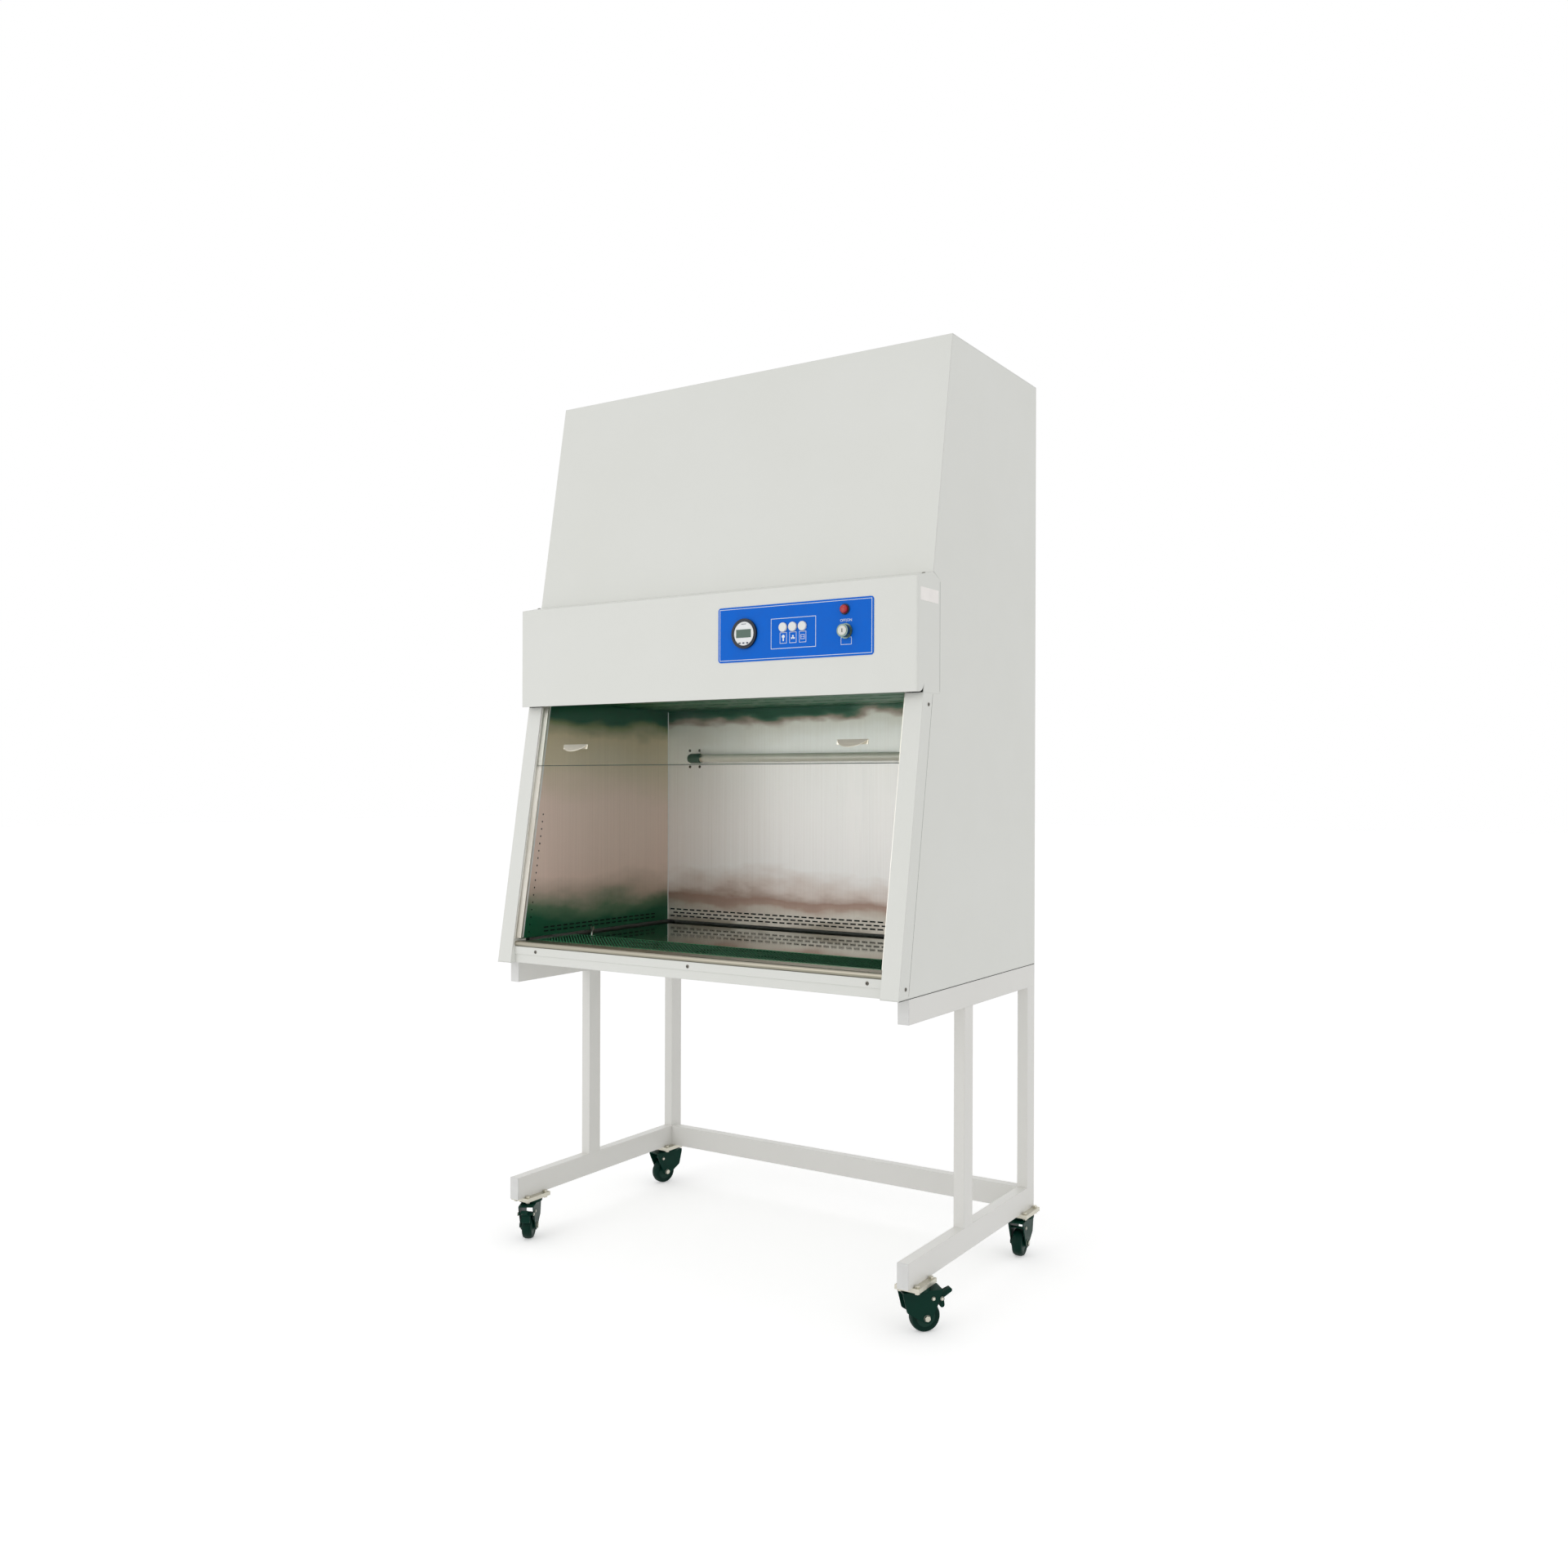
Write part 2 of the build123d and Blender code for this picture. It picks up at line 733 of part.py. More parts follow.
# ======================================================================= chamber
# Side liners, with two rows of return slots and a column of ports at the front.
for side, tag in sides:
    with BuildPart() as chamber_wall:
        with BuildSketch(Plane.YZ.offset(side * chamber_half)):
            with BuildLine():
                Polyline(
                    (slope_y(wall_foot, track_back), wall_foot),
                    (chamber_y, wall_foot),
                    (chamber_y, ceiling_z),
                    (slope_y(ceiling_z, track_back), ceiling_z),
                    close=True,
                )
            make_face()
            for row in range(side_slot_rows):
                for column in range(slot_count_side):
                    slot_y = inward(side_slot_front + column * slot_pitch)
                    with Locations((slot_y, up(slot_first_up + row * slot_row_pitch))):
                        Rectangle(slot_long, slot_tall, mode=Mode.SUBTRACT)
            for number in range(port_count):
                port_z = up(port_first_up + number * port_pitch * cos(radians(lean_angle)))
                with Locations((slope_y(port_z, port_inset), port_z)):
                    RegularPolygon(port_radius, port_sides, mode=Mode.SUBTRACT)
        extrude(amount=-side * liner)
    chamber_wall.part.label = f"chamber_wall_{tag}"
    export_step(chamber_wall.part, f"parts/chamber_wall_{tag}.step")

# Back liner, with three staggered rows of return slots.
with BuildPart() as chamber_back_wall:
    with BuildSketch(front_plane(chamber_y)):
        with Locations((0, wall_foot)):
            Rectangle(
                2 * chamber_half, ceiling_z - wall_foot, align=(Align.CENTER, Align.MIN)
            )
        for row in range(back_slot_rows):
            with Locations((0, up(slot_first_up + row * slot_row_pitch))):
                with GridLocations(slot_pitch, 1, slot_count_back - row % 2, 1):
                    Rectangle(slot_long, slot_tall, mode=Mode.SUBTRACT)
    extrude(amount=-liner)
chamber_back_wall.part.label = "chamber_back_wall"
export_step(chamber_back_wall.part, "parts/chamber_back_wall.step")

# Perforated ceiling that spreads the filtered air.
diffuser_front = slope_y(ceiling_z, filter_sash_room)
with BuildPart() as air_diffuser:
    with BuildSketch(Plane.XY.offset(ceiling_z)):
        with Locations((0, diffuser_front)):
            Rectangle(
                2 * chamber_half, chamber_y - diffuser_front, align=(Align.CENTER, Align.MIN)
            )
        with Locations((0, (diffuser_front + chamber_y) / 2)):
            with GridLocations(
                diffuser_pitch_x, diffuser_pitch_y, diffuser_columns, diffuser_rows
            ):
                Rectangle(diffuser_slot_long, diffuser_slot_wide, mode=Mode.SUBTRACT)
    extrude(amount=liner)
air_diffuser.part.label = "air_diffuser"
export_step(air_diffuser.part, "parts/air_diffuser.step")

# Lamp on the back wall: a tube held in two holders that stand on the wall.
lamp_y = chamber_y - lamp_stand_off
lamp_z = up(lamp_up)
with BuildPart() as lamp_tube:
    with BuildSketch(Plane.YZ.offset(-lamp_half - holder_grip)):
        with Locations((lamp_y, lamp_z)):
            Circle(lamp_radius)
    extrude(amount=2 * (lamp_half + holder_grip))
lamp_tube.part.label = "lamp_tube"
export_step(lamp_tube.part, "parts/lamp_tube.step")

with BuildPart() as lamp_holders:
    with BuildSketch(front_plane(chamber_y)):
        with Locations((0, lamp_z)):
            with GridLocations(2 * lamp_half + holder_long, 1, 2, 1):
                RectangleRounded(holder_long, holder_tall, holder_round)
    extrude(amount=lamp_stand_off + lamp_radius)
    with BuildSketch(Plane.YZ.offset(-lamp_half - holder_grip)):
        with Locations((lamp_y, lamp_z)):
            Circle(lamp_radius + lamp_play)
    extrude(amount=2 * (lamp_half + holder_grip), mode=Mode.SUBTRACT)
lamp_holders.part.label = "lamp_holders"
export_step(lamp_holders.part, "parts/lamp_holders.step")


# ==================================================== filters, plenum and blower
filter_low = ceiling_z + liner
filter_top = filter_low + supply_filter_tall
filter_front = slope_y(filter_top, filter_sash_room)
filter_back = chamber_y - filter_back_room
plenum_z = up(plenum_up)
exhaust_top = roof_z - 2 * sheet
# Two filters of the same make: one above the diffuser, one under the roof.
# half width, front, back, underside, top
filters = (
    (filter_half, filter_front, filter_back, filter_low, filter_top),
    (exhaust_half, inward(exhaust_front), inward(exhaust_back), plenum_z, exhaust_top),
)
with BuildPart() as filter_frames:
    for half_wide, near, far, low, high in filters:
        with BuildSketch(Plane.XY.offset(low)):
            with Locations((0, near)):
                Rectangle(2 * half_wide, far - near, align=(Align.CENTER, Align.MIN))
            with Locations((0, near + filter_rim)):
                Rectangle(
                    2 * (half_wide - filter_rim),
                    far - near - 2 * filter_rim,
                    align=(Align.CENTER, Align.MIN),
                    mode=Mode.SUBTRACT,
                )
        extrude(amount=high - low)
filter_frames.part.label = "filter_frames"
export_step(filter_frames.part, "parts/filter_frames.step")

with BuildPart() as filter_media:
    for half_wide, near, far, low, high in filters:
        with BuildSketch(Plane.XY.offset(low + filter_rim)):
            with Locations((0, near + filter_rim)):
                Rectangle(
                    2 * (half_wide - filter_rim),
                    far - near - 2 * filter_rim,
                    align=(Align.CENTER, Align.MIN),
                )
        extrude(amount=high - low - 2 * filter_rim)
filter_media.part.label = "filter_media"
export_step(filter_media.part, "parts/filter_media.step")

# Plenum: a box on the supply filter, open below, with a hole in its top for the
# exhaust filter and one in its back for the blower.
blower_z = up(blower_up)
with BuildPart() as plenum_box:
    with BuildSketch(Plane.YZ.offset(-filter_half)):
        with BuildLine():
            Polyline(
                (filter_front, filter_top),
                (slope_y(plenum_z, filter_sash_room), plenum_z),
                (filter_back, plenum_z),
                (filter_back, filter_top),
                close=True,
            )
        make_face()
    extrude(amount=2 * filter_half)
    with BuildSketch(Plane.YZ.offset(-filter_half + sheet)):
        with BuildLine():
            Polyline(
                (filter_front + skin_y, filter_top),
                (slope_y(plenum_z - sheet, filter_sash_room + skin_y), plenum_z - sheet),
                (filter_back - sheet, plenum_z - sheet),
                (filter_back - sheet, filter_top),
                close=True,
            )
        make_face()
    extrude(amount=2 * (filter_half - sheet), mode=Mode.SUBTRACT)
    with BuildSketch(Plane.XY.offset(plenum_z)):
        with Locations((0, inward(exhaust_front + filter_rim))):
            Rectangle(
                2 * (exhaust_half - filter_rim),
                exhaust_back - exhaust_front - 2 * filter_rim,
                align=(Align.CENTER, Align.MIN),
            )
    extrude(amount=-sheet, mode=Mode.SUBTRACT)
    with BuildSketch(front_plane(filter_back)):
        with Locations((0, blower_z)):
            Circle(blower_inlet)
    extrude(amount=sheet, mode=Mode.SUBTRACT)
plenum_box.part.label = "plenum_box"
export_step(plenum_box.part, "parts/plenum_box.step")

# Slotted grille in the roof opening.
with BuildPart() as exhaust_grille:
    with BuildSketch(Plane.XY.offset(exhaust_top)):
        with Locations((0, inward((exhaust_front + exhaust_back) / 2))):
            Rectangle(2 * exhaust_half, exhaust_back - exhaust_front)
            with GridLocations(1, exhaust_slot_pitch, 1, exhaust_slot_count):
                Rectangle(
                    2 * (exhaust_half - 2 * filter_rim),
                    exhaust_slot_wide,
                    mode=Mode.SUBTRACT,
                )
    extrude(amount=sheet)
exhaust_grille.part.label = "exhaust_grille"
export_step(exhaust_grille.part, "parts/exhaust_grille.step")

# Blower scroll on the back of the plenum, open at its inlet and below.
blower_back = filter_back - sheet
blower_front = blower_back - blower_thick
with BuildPart() as blower_housing:
    with BuildSketch(front_plane(blower_back)):
        with Locations((0, blower_z)):
            Circle(blower_radius)
        with Locations((blower_radius, blower_z)):
            Rectangle(blower_mouth, blower_drop, align=(Align.MAX, Align.MAX))
    extrude(amount=blower_thick)
    with BuildSketch(front_plane(blower_back - sheet)):
        with Locations((0, blower_z)):
            Circle(blower_radius - sheet)
        with Locations((blower_radius - sheet, blower_z)):
            Rectangle(blower_mouth - 2 * sheet, blower_drop, align=(Align.MAX, Align.MAX))
    extrude(amount=blower_thick - 2 * sheet, mode=Mode.SUBTRACT)
    with BuildSketch(front_plane(blower_back)):
        with Locations((0, blower_z)):
            Circle(blower_inlet)
    extrude(amount=sheet, mode=Mode.SUBTRACT)
    with BuildSketch(front_plane(blower_front + sheet)):
        with Locations((0, blower_z)):
            Circle(shaft_radius + sheet)
    extrude(amount=sheet, mode=Mode.SUBTRACT)
blower_housing.part.label = "blower_housing"
export_step(blower_housing.part, "parts/blower_housing.step")

# Motor on the front of the scroll, bored for the impeller's shaft.
with BuildPart() as blower_motor:
    with BuildSketch(front_plane(blower_front)):
        with Locations((0, blower_z)):
            Circle(motor_radius)
    extrude(amount=motor_long)
    with BuildSketch(front_plane(blower_front)):
        with Locations((0, blower_z)):
            Circle(shaft_radius + shaft_play)
    extrude(amount=shaft_in_motor + sheet, mode=Mode.SUBTRACT)
blower_motor.part.label = "blower_motor"
export_step(blower_motor.part, "parts/blower_motor.step")

# Impeller: back plate, blades, front ring and shaft.
impeller_front = blower_front + (blower_thick - impeller_deep) / 2
with BuildPart() as blower_impeller:
    with BuildSketch(front_plane(impeller_front)):
        with Locations((0, blower_z)):
            Circle(impeller_radius)
    extrude(amount=-sheet)
    with BuildSketch(front_plane(impeller_front + sheet)):
        with Locations((0, blower_z)):
            with PolarLocations(impeller_radius - blade_reach / 2 - sheet, blade_count):
                Rectangle(blade_reach, sheet, rotation=blade_turn)
    extrude(amount=-(impeller_deep - 2 * sheet))
    with BuildSketch(front_plane(impeller_front + impeller_deep - sheet)):
        with Locations((0, blower_z)):
            Circle(impeller_radius)
            Circle(impeller_radius - blade_reach, mode=Mode.SUBTRACT)
    extrude(amount=-sheet)
    with BuildSketch(front_plane(impeller_front + sheet)):
        with Locations((0, blower_z)):
            Circle(shaft_radius)
    extrude(amount=impeller_front + sheet - blower_front + shaft_in_motor)
blower_impeller.part.label = "blower_impeller"
export_step(blower_impeller.part, "parts/blower_impeller.step")


# ================================================================= control panel
plate_y = hood_y - plate_thick
button_xs = [button_first_x + number * button_pitch for number in range(button_count)]
with BuildPart() as control_plate:
    with BuildSketch(front_plane(hood_y)):
        with Locations(
            ((plate_left + plate_right) / 2, up((plate_low_up + plate_high_up) / 2))
        ):
            RectangleRounded(
                plate_right - plate_left, plate_high_up - plate_low_up, plate_round
            )
        for button_x in button_xs:
            with Locations((button_x, up(button_up))):
                Circle(button_radius + button_play, mode=Mode.SUBTRACT)
    extrude(amount=plate_thick)
control_plate.part.label = "control_plate"
export_step(control_plate.part, "parts/control_plate.step")

with BuildPart() as timer_bezel:
    with BuildSketch(front_plane(plate_y)):
        with Locations((timer_x, up(timer_up))):
            Circle(timer_radius)
            Circle(timer_radius - timer_ring, mode=Mode.SUBTRACT)
    extrude(amount=timer_deep)
    chamfer(timer_bezel.faces().sort_by(Axis.Y)[0].edges(), timer_edge)
timer_bezel.part.label = "timer_bezel"
export_step(timer_bezel.part, "parts/timer_bezel.step")

with BuildPart() as timer_face:
    with BuildSketch(front_plane(plate_y)):
        with Locations((timer_x, up(timer_up))):
            Circle(timer_radius - timer_ring - timer_play)
    extrude(amount=timer_deep - timer_recess)
timer_face.part.label = "timer_face"
export_step(timer_face.part, "parts/timer_face.step")

for number, button_x in enumerate(button_xs, start=1):
    with BuildPart() as push_button:
        with BuildSketch(front_plane(plate_y)):
            with Locations((button_x, up(button_up))):
                Circle(button_radius)
        extrude(amount=button_proud)
        extrude(push_button.faces().sort_by(Axis.Y)[-1], amount=button_long)
        chamfer(push_button.faces().sort_by(Axis.Y)[0].edges(), button_edge)
    push_button.part.label = f"push_button_{number}"
    export_step(push_button.part, f"parts/push_button_{number}.step")

with BuildPart() as indicator_lamp:
    with BuildSketch(front_plane(plate_y)):
        with Locations((indicator_x, up(indicator_up))):
            Circle(indicator_bezel)
    extrude(amount=indicator_rim)
    with BuildSketch(front_plane(plate_y - indicator_rim)):
        with Locations((indicator_x, up(indicator_up))):
            Circle(indicator_radius)
    extrude(amount=indicator_proud - indicator_rim)
    fillet(indicator_lamp.faces().sort_by(Axis.Y)[0].edges(), indicator_dome)
indicator_lamp.part.label = "indicator_lamp"
export_step(indicator_lamp.part, "parts/indicator_lamp.step")

# Key switch: a fixed collar and a barrel that turns in it.
key_back = plate_y - key_ring_thick
with BuildPart() as key_switch_collar:
    with BuildSketch(front_plane(plate_y)):
        with Locations((key_x, up(key_up))):
            Circle(key_ring_radius)
    extrude(amount=key_ring_thick)
    with BuildSketch(front_plane(key_back)):
        with Locations((key_x, up(key_up))):
            Circle(key_collar_radius)
            Circle(key_barrel_radius + key_play, mode=Mode.SUBTRACT)
    extrude(amount=key_proud - key_ring_thick - key_lip)
key_switch_collar.part.label = "key_switch_collar"
export_step(key_switch_collar.part, "parts/key_switch_collar.step")

with BuildPart() as key_barrel:
    with BuildSketch(front_plane(key_back)):
        with Locations((key_x, up(key_up))):
            Circle(key_barrel_radius)
    extrude(amount=key_proud - key_ring_thick)
    with BuildSketch(front_plane(plate_y - key_proud)):
        with Locations((key_x, up(key_up))):
            Rectangle(key_slot_wide, key_slot_long)
    extrude(amount=-key_slot_deep, mode=Mode.SUBTRACT)
key_barrel.part.label = "key_barrel"
export_step(key_barrel.part, "parts/key_barrel.step")

# Power inlet in the back panel: flange, sleeve and pins.
with BuildPart() as power_inlet:
    with BuildSketch(front_plane(back_y)):
        with Locations((inlet_x, up(inlet_up))):
            Rectangle(inlet_wide + inlet_flange, inlet_tall + inlet_flange)
    extrude(amount=-inlet_flange_thick)
    with BuildSketch(front_plane(back_y)):
        with Locations((inlet_x, up(inlet_up))):
            Rectangle(inlet_wide, inlet_tall)
    extrude(amount=inlet_deep)
    with BuildSketch(front_plane(back_y + inlet_flange_thick)):
        with Locations((inlet_x, up(inlet_up))):
            Rectangle(inlet_wide - 2 * inlet_wall, inlet_tall - 2 * inlet_wall)
    extrude(amount=inlet_deep + inlet_flange_thick - inlet_wall, mode=Mode.SUBTRACT)
    with BuildSketch(front_plane(back_y - inlet_deep + inlet_wall)):
        with Locations((inlet_x, up(inlet_up))):
            with GridLocations(inlet_pin_pitch, 1, inlet_pins, 1):
                Rectangle(inlet_pin_wide, inlet_pin_tall)
    extrude(amount=-inlet_pin_long)
power_inlet.part.label = "power_inlet"
export_step(power_inlet.part, "parts/power_inlet.step")


# ===================================================================== fasteners
def screw_spots():
    """Planes at the seats of the exposed cabinet screws."""
    spots = []
    for x in (sill_screw_x - sill_screw_span, sill_screw_x, sill_screw_x + sill_screw_span):
        origin = (x, inward(sill_setback), up(sill_screw_up))
        spots.append(Plane(origin=origin, x_dir=(1, 0, 0), z_dir=(0, -1, 0)))
    for side, tag in sides:
        for level in (pillar_screw_low, pillar_screw_high):
            origin = (side * half, slope_y(up(level), pillar_screw_behind), up(level))
            spots.append(Plane(origin=origin, x_dir=(0, 1, 0), z_dir=(side, 0, 0)))
        rise = hood_rise * (hood_screw_y - hood_setback)
        origin = (side * hood_screw_x, inward(hood_screw_y), hood_front + rise)
        spots.append(Plane(origin=origin, x_dir=(1, 0, 0), z_dir=(0, -hood_rise, 1)))
        for along in (-holder_screw_x, holder_screw_x):
            for height in (-holder_screw_z, holder_screw_z):
                x = side * (lamp_half + holder_long / 2 + holder_screw_set) + along
                origin = (x, chamber_y, lamp_z + height)
                spots.append(Plane(origin=origin, x_dir=(1, 0, 0), z_dir=(0, -1, 0)))
    return spots


with BuildPart() as cabinet_screws:
    for spot in screw_spots():
        with BuildSketch(spot):
            Circle(screw_radius)
        extrude(amount=screw_head)
cabinet_screws.part.label = "cabinet_screws"
export_step(cabinet_screws.part, "parts/cabinet_screws.step")


# ========================================================================= stand
rail_x = half - rail_wide / 2
rail_start = inward(rail_front) + cap_thick
rail_long = back_y - cap_thick - rail_start
rail_levels = (("foot", foot_z), ("top", cabinet_z - rail_tall))
for name, level in rail_levels:
    with BuildPart() as rails:
        with BuildSketch(front_plane(rail_start)):
            with Locations((0, level + rail_tall / 2)):
                with GridLocations(2 * rail_x, 1, 2, 1):
                    Rectangle(rail_wide, rail_tall)
                    Rectangle(
                        rail_wide - 2 * tube_wall, rail_tall - 2 * tube_wall, mode=Mode.SUBTRACT
                    )
        extrude(amount=-rail_long)
    rails.part.label = f"stand_{name}_rails"
    export_step(rails.part, f"parts/stand_{name}_rails.step")

with BuildPart() as stand_end_caps:
    for name, level in rail_levels:
        for cap_y in (rail_start, back_y):
            with BuildSketch(front_plane(cap_y)):
                with Locations((0, level + rail_tall / 2)):
                    with GridLocations(2 * rail_x, 1, 2, 1):
                        Rectangle(rail_wide, rail_tall)
            extrude(amount=cap_thick)
stand_end_caps.part.label = "stand_end_caps"
export_step(stand_end_caps.part, "parts/stand_end_caps.step")

post_low = foot_z + rail_tall
post_long = stand_height - 2 * rail_tall
with BuildPart() as stand_posts:
    with BuildSketch(Plane.XY.offset(post_low)):
        for post_y in (inward(post_front), back_y - post_deep):
            with Locations((0, post_y + post_deep / 2)):
                with GridLocations(2 * rail_x, 1, 2, 1):
                    Rectangle(rail_wide, post_deep)
                    Rectangle(
                        rail_wide - 2 * tube_wall, post_deep - 2 * tube_wall, mode=Mode.SUBTRACT
                    )
    extrude(amount=post_long)
stand_posts.part.label = "stand_posts"
export_step(stand_posts.part, "parts/stand_posts.step")

with BuildPart() as stand_crossbar:
    with BuildSketch(Plane.YZ.offset(-half + rail_wide)):
        with Locations((back_y - post_deep + crossbar_thick / 2, foot_z + rail_tall / 2)):
            Rectangle(crossbar_thick, rail_tall)
            Rectangle(
                crossbar_thick - 2 * tube_wall, rail_tall - 2 * tube_wall, mode=Mode.SUBTRACT
            )
    extrude(amount=width - 2 * rail_wide)
stand_crossbar.part.label = "stand_crossbar"
export_step(stand_crossbar.part, "parts/stand_crossbar.step")


# ======================================================================= castors
# name, x, y, direction in which the wheel trails (degrees), has a brake
castors = (
    ("front_left", -rail_x, inward(front_castor_y), -58.0, True),
    ("front_right", rail_x, inward(front_castor_y), 48.0, True),
    ("rear_left", -rail_x, inward(rear_castor_y), -103.0, False),
    ("rear_right", rail_x, inward(rear_castor_y), -83.0, False),
)
plate_low = castor_height - plate_thick_castor
fork_roof = fork_top - fork_sheet
cheek_outer = cheek_gap / 2 + fork_sheet

# Mounting plates with their kingpins.
with BuildPart() as castor_plates:
    for name, x, y, turn, braked in castors:
        with BuildSketch(Plane.XY.offset(plate_low)):
            with Locations((x, y)):
                Rectangle(plate_wide, plate_long)
                with GridLocations(bolt_span_wide, bolt_span_long, 2, 2):
                    Circle(bolt_radius + bolt_play, mode=Mode.SUBTRACT)
        extrude(amount=plate_thick_castor)
        with BuildSketch(Plane.XY.offset(plate_low)):
            with Locations((x, y)):
                Circle(kingpin_radius)
        extrude(amount=fork_roof - swivel_gap - plate_low)
        with BuildSketch(Plane.XY.offset(fork_roof - swivel_gap)):
            with Locations((x, y)):
                Circle(kingpin_head)
        extrude(amount=-kingpin_head_thick)
castor_plates.part.label = "castor_plates"
export_step(castor_plates.part, "parts/castor_plates.step")

# Pads welded under the foot rails.
with BuildPart() as castor_pads:
    for name, x, y, turn, braked in castors:
        with BuildSketch(Plane.XY.offset(castor_height)):
            with Locations((x, y)):
                Rectangle(plate_wide, plate_long)
                with GridLocations(bolt_span_wide, bolt_span_long, 2, 2):
                    Circle(bolt_radius + bolt_play, mode=Mode.SUBTRACT)
        extrude(amount=pad_thick)
castor_pads.part.label = "castor_pads"
export_step(castor_pads.part, "parts/castor_pads.step")

# Hexagon bolts and nuts through plates and pads.
with BuildPart() as castor_bolts:
    for name, x, y, turn, braked in castors:
        for level in (plate_low - bolt_head_thick, foot_z):
            with BuildSketch(Plane.XY.offset(level)):
                with Locations((x, y)):
                    with GridLocations(bolt_span_wide, bolt_span_long, 2, 2):
                        RegularPolygon(bolt_head, bolt_sides)
            extrude(amount=bolt_head_thick)
        with BuildSketch(Plane.XY.offset(plate_low)):
            with Locations((x, y)):
                with GridLocations(bolt_span_wide, bolt_span_long, 2, 2):
                    Circle(bolt_radius)
        extrude(amount=foot_z - plate_low)
castor_bolts.part.label = "castor_bolts"
export_step(castor_bolts.part, "parts/castor_bolts.step")

for name, x, y, turn, braked in castors:
    ahead = (cos(radians(turn)), sin(radians(turn)), 0)
    across = (sin(radians(turn)), -cos(radians(turn)), 0)
    upright = Plane(origin=(x, y, 0), x_dir=ahead, z_dir=across)

    # Fork: a pressed housing over the wheel, with its crown, axle and rivets.
    with BuildPart() as fork:
        with BuildSketch(upright):
            with Locations(((fork_tail - fork_lead) / 2, fork_top - fork_band / 2)):
                Rectangle(fork_lead + fork_tail, fork_band)
            with Locations((fork_shoulder_x, fork_shoulder_z)):
                Circle(fork_shoulder_round)
            with Locations((trail, wheel_radius)):
                Circle(fork_boss)
            make_hull()
        extrude(amount=cheek_outer, both=True)
        with BuildSketch(upright):
            with Locations(((fork_tail - fork_lead) / 2, fork_roof)):
                Rectangle(
                    2 * (fork_lead + fork_tail), fork_roof, align=(Align.CENTER, Align.MAX)
                )
        extrude(amount=cheek_gap / 2, both=True, mode=Mode.SUBTRACT)
        with BuildSketch(Plane.XY.offset(fork_top)):
            with Locations((x, y)):
                Circle(crown_radius)
        extrude(amount=crown_thick)
        with BuildSketch(Plane.XY.offset(fork_roof)):
            with Locations((x, y)):
                Circle(kingpin_radius + kingpin_play)
        extrude(amount=fork_sheet + crown_thick, mode=Mode.SUBTRACT)
        with BuildSketch(upright):
            with Locations((trail, wheel_radius)):
                Circle(axle_radius)
            if braked:
                with Locations((pedal_x, pedal_z)):
                    Circle(pedal_pin)
            else:
                with Locations((rivet_x, rivet_z)):
                    Circle(rivet_radius)
        extrude(amount=cheek_outer, both=True)
        for face in (-1, 1):
            with BuildSketch(upright.offset(face * cheek_outer)):
                with Locations((trail, wheel_radius)):
                    Circle(axle_head)
            extrude(amount=face * axle_head_thick)
            with BuildSketch(upright.offset(face * cheek_outer)):
                with Locations((rivet_x, rivet_z)):
                    Circle(rivet_head)
                if braked:
                    with Locations((pedal_x, pedal_z)):
                        Circle(rivet_head)
            extrude(amount=face * rivet_head_thick)
    fork.part.label = f"castor_fork_{name}"
    export_step(fork.part, f"parts/castor_fork_{name}.step")

    # Wheel: a rounded tyre round a wider hub.
    with BuildPart() as wheel:
        with BuildSketch(upright):
            with Locations((trail, wheel_radius)):
                Circle(wheel_radius)
        extrude(amount=wheel_wide / 2, both=True)
        fillet(wheel.edges(), tyre_shoulder)
        with BuildSketch(upright):
            with Locations((trail, wheel_radius)):
                Circle(hub_radius)
        extrude(amount=hub_wide / 2, both=True)
        with BuildSketch(upright):
            with Locations((trail, wheel_radius)):
                Circle(axle_radius + axle_play)
        extrude(amount=hub_wide / 2, both=True, mode=Mode.SUBTRACT)
    wheel.part.label = f"castor_wheel_{name}"
    export_step(wheel.part, f"parts/castor_wheel_{name}.step")

    # Brake pedal: a rocker on its own pin, with a shoe towards the tyre.
    if braked:
        with BuildPart() as pedal:
            with BuildSketch(upright) as pedal_outline:
                with Locations((pedal_x, pedal_z)):
                    Circle(pedal_pin + pedal_wall)
                with Locations((pedal_tip - pedal_tip_round, pedal_tip_z)):
                    Circle(pedal_tip_round)
                make_hull()
            extrude(amount=pedal_pad_wide / 2, both=True)
            with BuildSketch(upright):
                with Locations((pedal_x, pedal_z)):
                    Circle(pedal_pin + pedal_wall)
                with Locations((shoe_x, shoe_z)):
                    Circle(shoe_round)
                make_hull()
            extrude(amount=pedal_wide / 2, both=True)
            with BuildSketch(upright):
                with Locations((pedal_x, pedal_z)):
                    Circle(pedal_pin + pedal_pin_play)
            extrude(amount=pedal_wide / 2, both=True, mode=Mode.SUBTRACT)
        pedal.part.label = f"brake_pedal_{name}"
        export_step(pedal.part, f"parts/brake_pedal_{name}.step")
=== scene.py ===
"""Dresses a Class II biosafety cabinet on its castor stand.

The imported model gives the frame: metres, +X to the right of someone facing the
cabinet, +Y towards the back, +Z up, origin on the floor under the cabinet.
"""

from __future__ import annotations

import logging
import math
from dataclasses import dataclass
from enum import Enum

import bmesh
import bpy
from mathutils import Matrix, Vector

